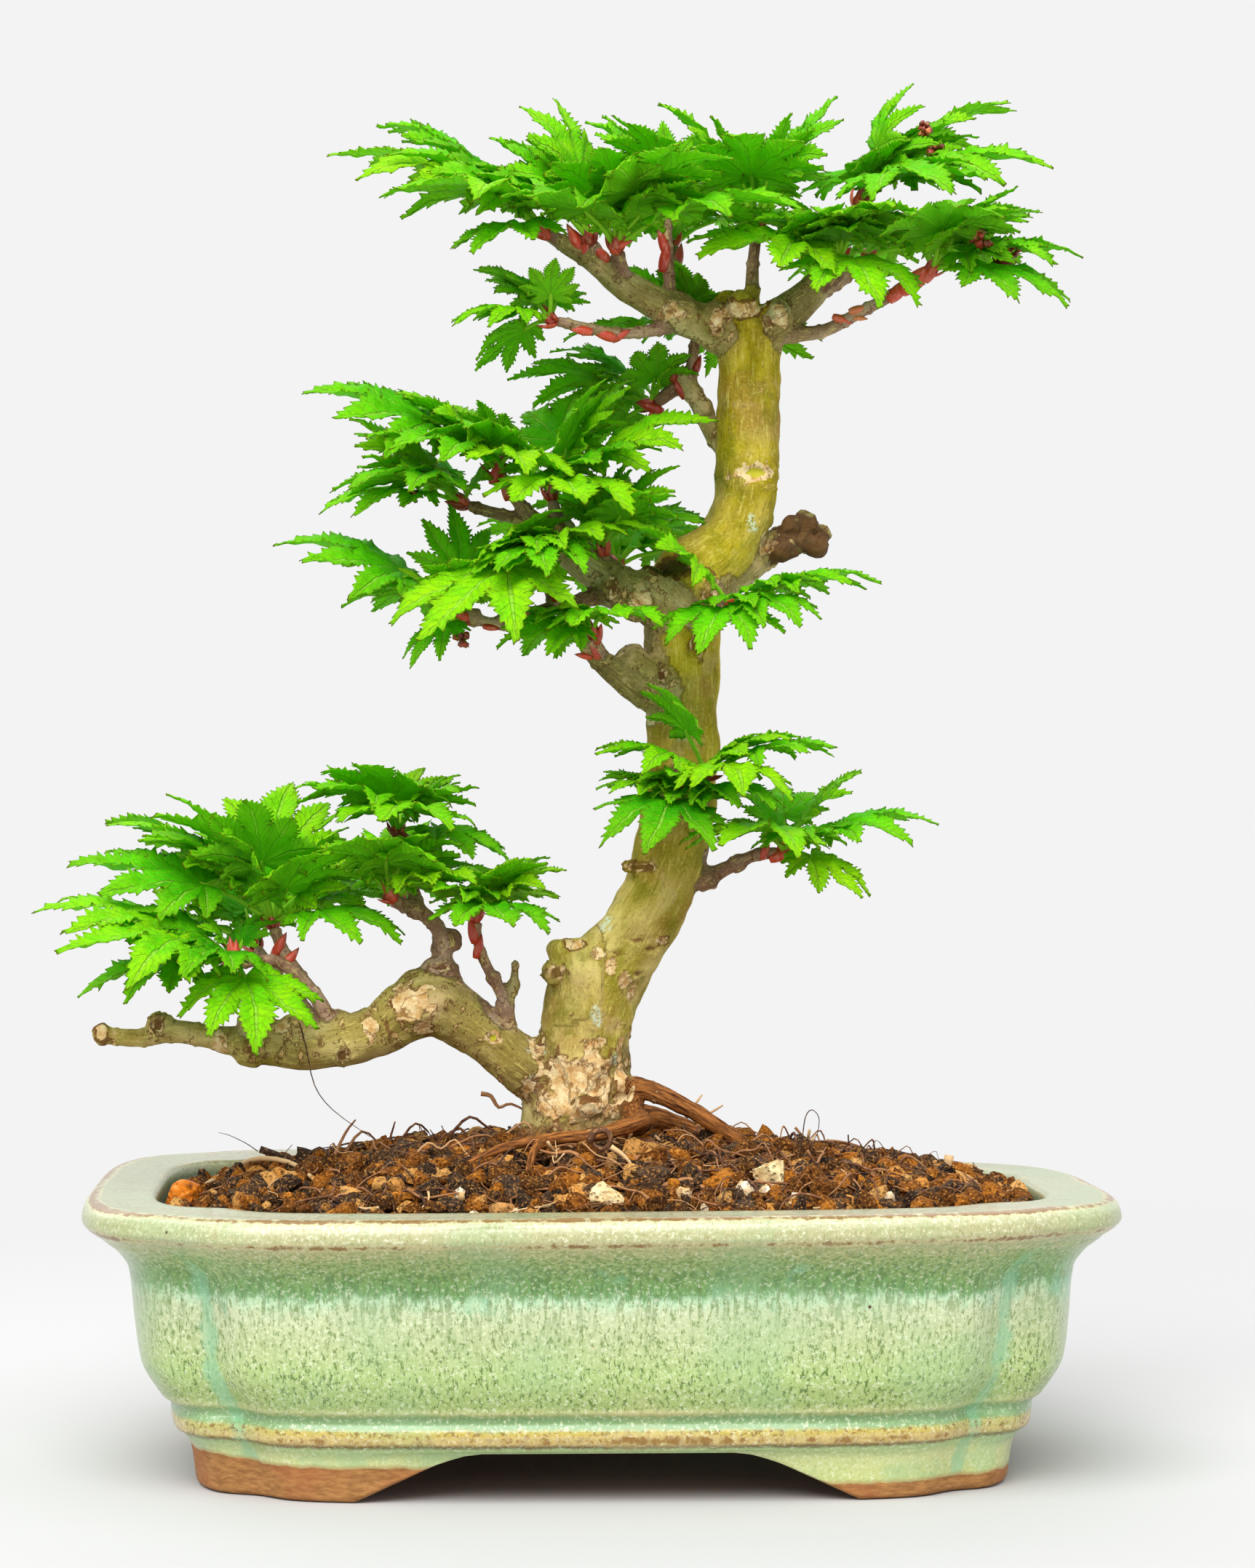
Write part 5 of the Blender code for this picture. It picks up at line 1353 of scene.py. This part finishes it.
def blade_shape(draw):
    """One leaf blade of unit length: its points, faces, floats and droop. X is to the tip and Z up."""
    droop = draw.uniform(0.14, 0.40)
    pleat = draw.uniform(0.34, 0.60)
    crumple = Vector((draw.uniform(-50, 50), draw.uniform(-50, 50), 0))
    points, faces, along, across, tooth = [], [], [], [], []
    lobes = [(sign * angle, reach, k) for k, (angle, reach) in enumerate(LOBES)
             for sign in ((1, -1) if angle else (1,))]
    for angle, reach, k in lobes:
        reach *= draw.uniform(0.93, 1.05) if k else 1.0
        swing = radians(angle)
        forward, left = Vector((cos(swing), sin(swing), 0)), Vector((-sin(swing), cos(swing), 0))
        side_sign = 1 if angle >= 0 else -1
        inner = (LOBES[k][0] - LOBES[k - 1][0], SINUS[k - 1]) if k else (LOBES[1][0], SINUS[0])
        outer = (LOBES[k + 1][0] - LOBES[k][0], SINUS[k]) if k < len(SINUS) else (66, 0.15)
        if k == 0:
            inner = outer
        sides = {side_sign: outer, -side_sign: inner}  # +1 is the left edge
        furthest = max(inner[1], outer[1])
        web = [d for d in WEB if d <= furthest + 1e-6]
        teeth = max(3, round(8.5 * (reach - furthest) / 0.5))
        rows = [(d, 0) for d in web]
        for t in range(teeth):
            start, step = furthest + (reach - furthest) * t / teeth, (reach - furthest) / teeth
            if t:
                rows.append((start + step * 0.04, 1))
            rows.append((start + step * 0.62, 2))
        curl, dip = draw.uniform(-0.13, 0.13), draw.uniform(-0.10, 0.26)
        lobe_pleat = pleat * draw.uniform(0.8, 1.2)
        swell = 0.102 * draw.uniform(0.88, 1.12)
        previous = None
        for d, kind in rows:
            bite = draw.uniform(0.65, 1.5)
            u = max(0.0, (d - furthest) / (reach - furthest))
            row = []
            for col in (-2, -1, 0, 1, 2):
                side = 1 if col > 0 else -1
                gap, sinus = sides[side]
                half = lobe_edge(d, reach, gap, sinus, swell)
                s, ahead = half * col / 2, 0.0
                if abs(col) == 2 and kind == 1:
                    s *= 0.84
                if abs(col) == 2 and kind == 2:
                    s += side * 0.025 * bite * (1 - u) ** 0.35 * min(1.0, reach + 0.2)
                    ahead = (0.30 + 0.25 * bite) * (reach - furthest) / teeth
                if abs(col) == 1 and kind:
                    s = half * 0.5 * side * 0.94
                out = d + ahead
                spot = forward * out + left * (s + curl * u * u * reach)
                rho = hypot(out, s)
                spot.z = -droop * rho * rho + (pleat if u == 0 else lobe_pleat) * abs(s) * (1 - 0.25 * u)
                spot.z -= dip * u * u * reach * 0.6 * (1 if k else 0.3)
                if abs(col) == 1:
                    spot.z += 0.012 * min(1, u * 3)
                if kind == 2 and abs(col) == 2:
                    spot.z += draw.uniform(-0.03, 0.02)
                where = Vector((out * cos(swing) - s * sin(swing), out * sin(swing) + s * cos(swing), 0))
                spot.z += 0.040 * noise.noise(where * 5 + crumple) * min(1, d * 4)
                spot.z += 0.030 * noise.noise(where * 12 + crumple) * min(1, d * 4)
                row.append(len(points))
                points.append(spot)
                along.append(out / reach)
                across.append(abs(col) / 2)
                tooth.append(1.0 if kind == 2 and abs(col) == 2 else 0.0)
            if previous:
                faces += [(previous[c], row[c], row[c + 1], previous[c + 1])[::-1] for c in range(4)]
            previous = row
        tip = forward * reach + left * (curl * reach)
        tip.z = -droop * reach * reach - dip * reach * 0.6 * (1 if k else 0.3)
        points.append(tip)
        along.append(1.0)
        across.append(0.3)
        tooth.append(1.0)
        faces += [(previous[c], len(points) - 1, previous[c + 1])[::-1] for c in range(4)]
    return merged(points, faces, along, across, tooth), droop


def merged(points, faces, along, across, tooth):
    """The blade with the points that its lobes share made one, and no face without an area."""
    index, keep, new = {}, [], []
    for i, p in enumerate(points):
        key = (round(p.x, 4), round(p.y, 4))
        if key not in index:
            index[key] = len(keep)
            keep.append(i)
        new.append(index[key])
    out = []
    for face in faces:
        ring = []
        for i in face:
            if new[i] not in ring:
                ring.append(new[i])
        if len(ring) > 2:
            out.append(tuple(ring))
    points, along, across, tooth = ([row[i] for i in keep] for row in (points, along, across, tooth))
    return points, out, along, across, tooth


def leaf_frame(shoot, tip, droop, share=BLADE_SHARE):
    """The blade's frame, its length and its base, for a leaf from shoot to tip."""
    way = tip - shoot
    reach = way.length
    along = way.normalized()
    level = Vector((along.x, along.y, 0))
    outwards = -0.22 if way.y < 5 else 0.25
    up = Vector((0, outwards, 1)) if level.length > 0.35 else Vector((0, 0, 0.3)) - level.normalized()
    base = shoot + along * (reach - min(LEAF_MOST, share * reach)) + UP * PETIOLE_ARCH * reach
    forward = (tip - base).normalized()
    side = up.cross(forward).normalized()
    turn = Matrix((forward, side, forward.cross(side))).transposed().to_4x4()
    tilt = Matrix.Rotation(-atan(droop), 4, "Y")
    return Matrix.Translation(base) @ turn @ tilt, (tip - base).length / hypot(1, droop), base


def moves():
    both = [(tilt, swing) for tilt in TILTS for swing in SWINGS]
    return sorted(both, key=lambda move: (hypot(*move), move))


def moved_tip(shoot, tip, tilt, swing):
    way = tip - shoot
    side = UP.cross(way)
    side = side.normalized() if side.length > 1e-6 else Vector((0, 1, 0))
    way = Matrix.Rotation(radians(-tilt), 3, side) @ way
    return shoot + Matrix.Rotation(radians(swing), 3, "Z") @ way


def tips_in_cad(centre, tips, node):
    """Each leaf's tip where the CAD has it: the least move that ends on one of the node's corners."""
    corners = KDTree(len(node.data.vertices))
    for i, v in enumerate(node.data.vertices):
        corners.insert((v.co - HOME) / MM, i)
    corners.balance()
    found = []
    for tip in tips:
        wanted = seen(*tip)
        options = (moved_tip(centre, wanted, *move) for move in moves())
        found.append(next((there for there in options if corners.find(there)[2] < 0.5), wanted))
    return found


def add_leaf(top, stalks, shapes, draw, shoot, tip, share=BLADE_SHARE):
    """One leaf: a blade onto the blades' heap, its petiole onto the stalks' heap."""
    (points, faces, along, across, tooth), droop = draw.choice(shapes)
    placed, length, base = leaf_frame(shoot, tip, droop, share)
    roll = Matrix.Rotation(radians(draw.uniform(-12, 12)), 4, "X")
    wide = draw.uniform(0.94, 1.12)
    whole = placed @ roll
    tone = min(1.0, max(0.0, draw.gauss(0.5, 0.27)))
    top.add([whole @ Vector((p.x * length, p.y * length * wide, p.z * length)) for p in points], faces,
            tone=tone, along=along, across=across, tooth=tooth, stalk=0.0, under=0.0)
    inward = (whole.to_3x3() @ Vector((1, 0, 0))).normalized()
    bend = shoot.lerp(base, 0.55) + UP * (0.05 * (base - shoot).length) - inward * 0.6
    path = [(*shoot, 0.75), (*shoot.lerp(bend, 0.5), 0.6), (*bend, 0.52),
            (*(base - inward * 0.5), 0.55), (*(base + inward * 0.9), 0.3)]
    skin, sides = tube_skin(smooth_path(path, 2, True), 7, round_ends=False)
    stalks.add(skin, sides, tone=tone, along=0.2, across=1.0, tooth=0.0, stalk=1.0, under=0.0)


LEAF_TOP, LEAF_THICKNESS = 322.0, 0.22
BARE_FROM, BARE_TO, BARE_HALF = 166, 275, 16  # the bare trunk's heights, and half its width with room
LEAF_FLOATS = ("tone", "along", "across", "tooth", "stalk", "under")


def hides_trunk(there):
    """Whether a tip would hang in front of the bare trunk."""
    x, z = unseen(there)
    middle = min(TRUNK, key=lambda p: abs(p[2] - z))
    return there.y < 0 and BARE_FROM < z < BARE_TO and abs(x - middle[0]) < BARE_HALF


def more_tips(draw, centre, tips):
    """Tips of the smaller leaves that fill a shoot between its large ones."""
    ways = sorted((tip - centre for tip in tips), key=lambda way: atan2(way.y, way.x))
    out = []
    for k, way in enumerate(ways):
        after = ways[(k + 1) % len(ways)]
        middle = way.normalized() + after.normalized()
        if middle.length < 0.45:
            continue
        reach = 0.5 * (way.length + after.length) * draw.uniform(0.60, 0.82)
        there = middle.normalized() * reach + UP * draw.uniform(3, 13)
        out.append(centre + there)
    for _ in range(2):
        round_stem = Matrix.Rotation(draw.uniform(0, 2 * pi), 3, "Z")
        way = round_stem @ Vector((1, 0, draw.uniform(0.5, 1.3))).normalized()
        out.append(centre + way * draw.uniform(15, 23))
    highest = min(LEAF_TOP, max(tip.z for tip in tips) + 3)
    return [Vector((there.x, there.y, min(there.z, highest))) for there in out if not hides_trunk(there)]


def make_shoot(name, centre, tips, shapes, finish):
    draw = random.Random(name)
    top, stalks = Heap(*LEAF_FLOATS), Heap(*LEAF_FLOATS)
    actual = tips_in_cad(centre, tips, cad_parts["shoot_" + name])
    for tip in actual:
        add_leaf(top, stalks, shapes, draw, centre, tip)
    for tip in more_tips(draw, centre, actual):
        add_leaf(top, stalks, shapes, draw, centre, tip, share=0.74)
    blades = top.piece("leaves_" + name)
    modified(blades, "SOLIDIFY", thickness=LEAF_THICKNESS * MM, offset=-1.0)
    below = [1.0 if v.normal.z < 0 else 0.0 for v in blades.data.vertices]
    blades.data.attributes["under"].data.foreach_set("value", below)
    stalk = outward(stalks.piece("stalks"))
    nothing_selected()
    stalk.select_set(True)
    blades.select_set(True)
    bpy.context.view_layer.objects.active = blades
    bpy.ops.object.join()
    return settle(blades, finish, "young_leaf", "shoot_" + name)


# ---- bud scales ------------------------------------------------------------------------------------------
# Further scales, as seen from the front: x, z, length, lean to the right in degrees, tone.
SCALES = (
    (-16, 293, 8, -62, 0.6), (-13, 295, 7, -40, 0.7), (-5.5, 293, 8, -25, 0.62), (-3, 291, 7, 20, 0.55),
    (1.0, 289.5, 7, -50, 0.6), (4.2, 295, 9, 8, 0.6), (8.5, 293.5, 6, 70, 0.72), (12.7, 288, 9, 10, 0.4),
    (19.3, 288.5, 7, 12, 0.5), (15, 292, 8, -18, 0.45), (0.4, 267.5, 8, -70, 0.66),
    (-3, 268.5, 7, -80, 0.7), (4, 268, 6, 60, 0.6), (62, 277.4, 6, 75, 0.9), (76, 283, 13, 52, 0.72),
    (72, 280.5, 10, 48, 0.66), (80, 285, 8, 35, 0.6), (63.7, 272.4, 4, 95, 0.97),
    (57.5, 276.5, 6, 110, 0.8), (-25, 236, 9, 20, 0.55), (-22.5, 232.5, 8, -12, 0.6),
    (-46.8, 226, 6, -75, 0.25), (-18.5, 205, 9, -70, 0.66), (-12.8, 212, 9, 12, 0.5),
    (-10.5, 208, 7, -10, 0.55), (-0.6, 194, 7, -18, 0.55), (-5.3, 190.3, 5, -80, 0.75),
    (2, 198, 6, 15, 0.45), (-30.8, 201.5, 5, -60, 0.4), (-35.5, 194.5, 6, -150, 0.55),
    (-27, 194.3, 5, 100, 0.6), (-32, 197, 4, -120, 0.3), (-41.2, 150.5, 8, -60, 0.2),
    (-37, 149, 7, 70, 0.15), (-51.6, 141, 8, -15, 0.6), (-49, 137, 8, -30, 0.66),
    (-89.3, 126, 9, -6, 0.6), (-87.2, 121, 8, 6, 0.66), (-78, 122, 8, 28, 0.6), (-75, 119, 8, 40, 0.66),
    (-92.2, 116.5, 7, -50, 0.7), (-30.8, 126, 8, -10, 0.5), (-29, 122, 7, 14, 0.55),
    (-27.6, 130, 6, 30, 0.4), (43.8, 144, 8, 70, 0.7), (40, 145.5, 6, 20, 0.6), (22, 160, 7, -20, 0.25),
    (26, 158, 7, 25, 0.3), (19, 156, 6, -35, 0.2), (17, 261, 7, 5, 0.3), (20, 256, 7, -30, 0.35),
    (25, 262, 6, 20, 0.35), (14, 252, 8, -70, 0.35),
)
# Dried flowers: the shoot they hang on, x, z and half width as seen from the front.
WITHERED = (
    ("crown_right_3", 81, 315, 3.4), ("crown_right_3", 79, 320, 2.4), ("crown_right_2", 92, 293.3, 3.0),
    ("crown_right_2", 97.7, 287.6, 3.4), ("crown_right_2", 100, 291, 2.4),
    ("pad_left_5", -33, 196.5, 2.4), ("pad_left_3", -44, 226.4, 2.2),
)


def scale_shape():
    """One bud scale of unit length: a cupped, pointed strip, along Z, its back to -Y."""
    rows, points, faces = 7, [], []
    for r in range(rows + 1):
        t = r / rows
        half = 0.21 * sin(pi * min(1.0, 0.16 + 0.84 * t)) ** 0.75 * (1 - 0.35 * t)
        half += 0.004 if r == rows else 0
        for thick in (1, -1):
            for c in range(5):
                s = (c - 2) / 2
                cup = -0.14 * (1 - s * s) * (half / 0.21)
                skin = thick * 0.022 * (1 - 0.7 * abs(s))
                points.append(Vector((half * s, cup - 0.14 * t + 0.22 * t * t + skin, t)))
    for r in range(rows):
        a, b = r * 10, (r + 1) * 10
        ring = [0, 1, 2, 3, 4, 9, 8, 7, 6, 5]
        for k in range(10):
            i, j = ring[k], ring[(k + 1) % 10]
            faces.append((a + i, a + j, b + j, b + i))
    faces += [(0, 5, 6, 7, 8, 9, 4, 3, 2, 1), tuple(rows * 10 + i for i in (0, 1, 2, 3, 4, 9, 8, 7, 6, 5))]
    return points, faces


def add_scale(heap, shape, there, along, back, length, tone, wide=1.0):
    points, faces = shape
    side = along.cross(back).normalized()
    back = side.cross(along).normalized()
    skin = [there + side * (-p.x * length * wide) + back * (-p.y * length) + along * (p.z * length)
            for p in points]
    heap.add(skin, faces, tone=tone, along=[p.z for p in points])


def make_scales(centres, samples):
    """Red scales that cup each burst bud, and others along the twigs."""
    shape = scale_shape()
    heap = Heap("tone", "along")
    draw = random.Random(40)
    for name, centre in centres.items():
        _, along = twig_end(name)
        start = draw.uniform(0, 2 * pi)
        count = draw.choice((3, 4, 4))
        for k in range(count):
            turn = Matrix.Rotation(start + k * 2 * pi / count + draw.uniform(-0.3, 0.3), 3, along)
            out = turn @ along.orthogonal().normalized()
            lean = (along + out * draw.uniform(0.25, 0.8) + UP * 0.3).normalized()
            length, tone = draw.uniform(3.8, 6.2), draw.uniform(0.2, 0.75)
            add_scale(heap, shape, centre - along * 1.6 + out * 0.7, lean, out, length, tone)
        ball = lump_shapes(1, 2, len(name), 0.1)[0]
        heap.add([centre + p * 1.45 for p in ball[0]], ball[1], tone=0.3, along=0.4)
    bases = [(s[0], s[1]) for s in samples if s[1] < 6]
    bases += [(centre, SHOOT_RADIUS) for centre in centres.values()]
    for x, z, length, lean, tone in SCALES:
        best = min(bases, key=lambda s: (unseen(s[0]) - Vector((x, z))).length)
        depth = (TURNED.inverted() @ best[0]).y - best[1] * 0.8
        near = unseen(best[0])
        off = Vector((x, z)) - near
        if off.length > best[1] * 0.7:
            x, z = near + off.normalized() * (best[1] * 0.7)
        there = seen(x, depth, z)
        along = TURNED @ Vector((sin(radians(lean)), -0.15, cos(radians(lean)))).normalized()
        back = TURNED @ Vector((0.3 * cos(radians(lean)), -1, 0.1))
        add_scale(heap, shape, there - along * length * 0.3, along, back, length * 0.88, tone, wide=1.05)
    return heap


def unseen(there):
    """Where a place looks to be on the middle plane, from EYE."""
    p = Matrix.Rotation(-FRONT_TURN, 3, "Z") @ there
    nearer = 1 - p.y / EYE[1]
    return Vector((EYE[0] + (p.x - EYE[0]) / nearer, EYE[2] + (p.z - EYE[2]) / nearer))


def twig_end(name):
    twig = SHOOTS[name][0]
    last, before = seen(*twig[-1][:3]), seen(*twig[-2][:3])
    return last, (last - before).normalized()


def make_withered(leaves):
    """Clusters of dried flowers, dark red, each held by the leaves of its shoot."""
    heap = Heap("tone", "along")
    draw = random.Random(50)
    shapes = lump_shapes(5, 2, 9, 0.5)
    for name, x, z, size in WITHERED:
        blades = tree_of(leaves[name])
        held, _ = touch(x, z, blades)
        if held is None:
            nearest = blades.find_nearest(HOME + seen(x, -12, z) * MM)[0]
            held = (nearest - HOME) / MM
        for _ in range(14):
            there = held + 0.6 * size * Vector([draw.uniform(-1, 1) for _ in range(3)])
            points, faces = draw.choice(shapes)
            turn = turned(draw)
            heap.add([there + turn @ (p * size * draw.uniform(0.2, 0.34)) for p in points], faces,
                     tone=draw.choice((0.0, 0.1, 0.2, 0.35, 0.9)), along=0.2)
    return heap


# ---- the tree --------------------------------------------------------------------------------------------
def make_tree():
    wood, samples = make_wood()
    settle(wood, bark(), "maple_bark", "tree_wood")
    cad_wood = tree_of(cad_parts["tree_wood"])
    centres = {}
    for name, (twig, _) in SHOOTS.items():
        on_wood, normal, _, _ = cad_wood.find_nearest(HOME + seen(*twig[-1][:3]) * MM)
        centres[name] = (on_wood - HOME) / MM + normal * (SHOOT_RADIUS + GAP)
    draw = random.Random(3)
    shapes = [blade_shape(draw) for _ in range(BLADE_KINDS)]
    green = young_leaf()
    leaves = {name: make_shoot(name, centres[name], tips, shapes, green)
              for name, (_, tips) in SHOOTS.items()}
    red = scale_finish()
    settle(outward(make_scales(centres, samples).piece("bud_scales")), red, "dead_root")
    settle(make_withered(leaves).piece("withered_flowers"), red, "dead_root")


# ---- floor, light and camera -----------------------------------------------------------------------------
FLOOR_SIZE, LENS = 60, 98.63  # metres, and the lens's focal length in mm
SKY, SKY_LIGHT = 0.896, 0.70  # how bright the sky looks, and how much it lights
SUNS = (("soft_sun_front", (-0.25, -0.85, 1.05), 3.6, 50), ("soft_sun_right", (0.8, -0.3, 0.6), 0.35, 60),
        ("soft_sun_back", (-0.15, 0.8, 0.9), 0.9, 60))


def make_stage():
    nothing_selected()
    bpy.ops.mesh.primitive_plane_add(size=FLOOR_SIZE, location=(0, 0, -0.0002))
    floor = bpy.context.active_object
    floor.name = "pale_floor"
    world = bpy.data.worlds.new("soft_white")
    world.use_nodes = True
    nodes, links = world.node_tree.nodes, world.node_tree.links
    shown = nodes["Background"]
    shown.inputs["Color"].default_value = (SKY, SKY, SKY, 1)
    lit = nodes.new("ShaderNodeBackground")
    lit.inputs["Color"].default_value = (SKY_LIGHT, SKY_LIGHT, SKY_LIGHT, 1)
    path, either, both = (nodes.new("ShaderNode" + kind) for kind in ("LightPath", "Math", "MixShader"))
    either.operation = "MAXIMUM"
    links.new(path.outputs["Is Camera Ray"], either.inputs[0])
    links.new(path.outputs["Is Glossy Ray"], either.inputs[1])
    links.new(either.outputs[0], both.inputs[0])
    links.new(lit.outputs[0], both.inputs[1])
    links.new(shown.outputs[0], both.inputs[2])
    links.new(both.outputs[0], nodes["World Output"].inputs["Surface"])
    bpy.context.scene.world = world
    on_floor = SKY_LIGHT
    for name, way, strength, spread in SUNS:
        lamp = bpy.data.lights.new(name, "SUN")
        lamp.energy, lamp.angle = strength, radians(spread)
        made = bpy.data.objects.new(name, lamp)
        made.location = Vector(way)
        made.rotation_euler = (-Vector(way)).to_track_quat("-Z", "Y").to_euler()
        bpy.context.scene.collection.objects.link(made)
        on_floor += strength * Vector(way).normalized().z / pi
    floor.data.materials.append(floor_finish(SKY / on_floor))
    camera = bpy.data.cameras.new("front_camera")
    camera.lens, camera.sensor_width = LENS, 36.0
    camera.clip_start, camera.clip_end = 0.05, 30
    eye = bpy.data.objects.new("front_camera", camera)
    eye.location = HOME + TURNED @ (Vector(EYE) * MM)
    eye.rotation_euler = (radians(90), 0, FRONT_TURN)
    bpy.context.scene.collection.objects.link(eye)
    bpy.context.scene.camera = eye
    bpy.context.scene.view_settings.view_transform = "Standard"


nothing_selected()
make_pot()
make_ground()
make_tree()
make_stage()
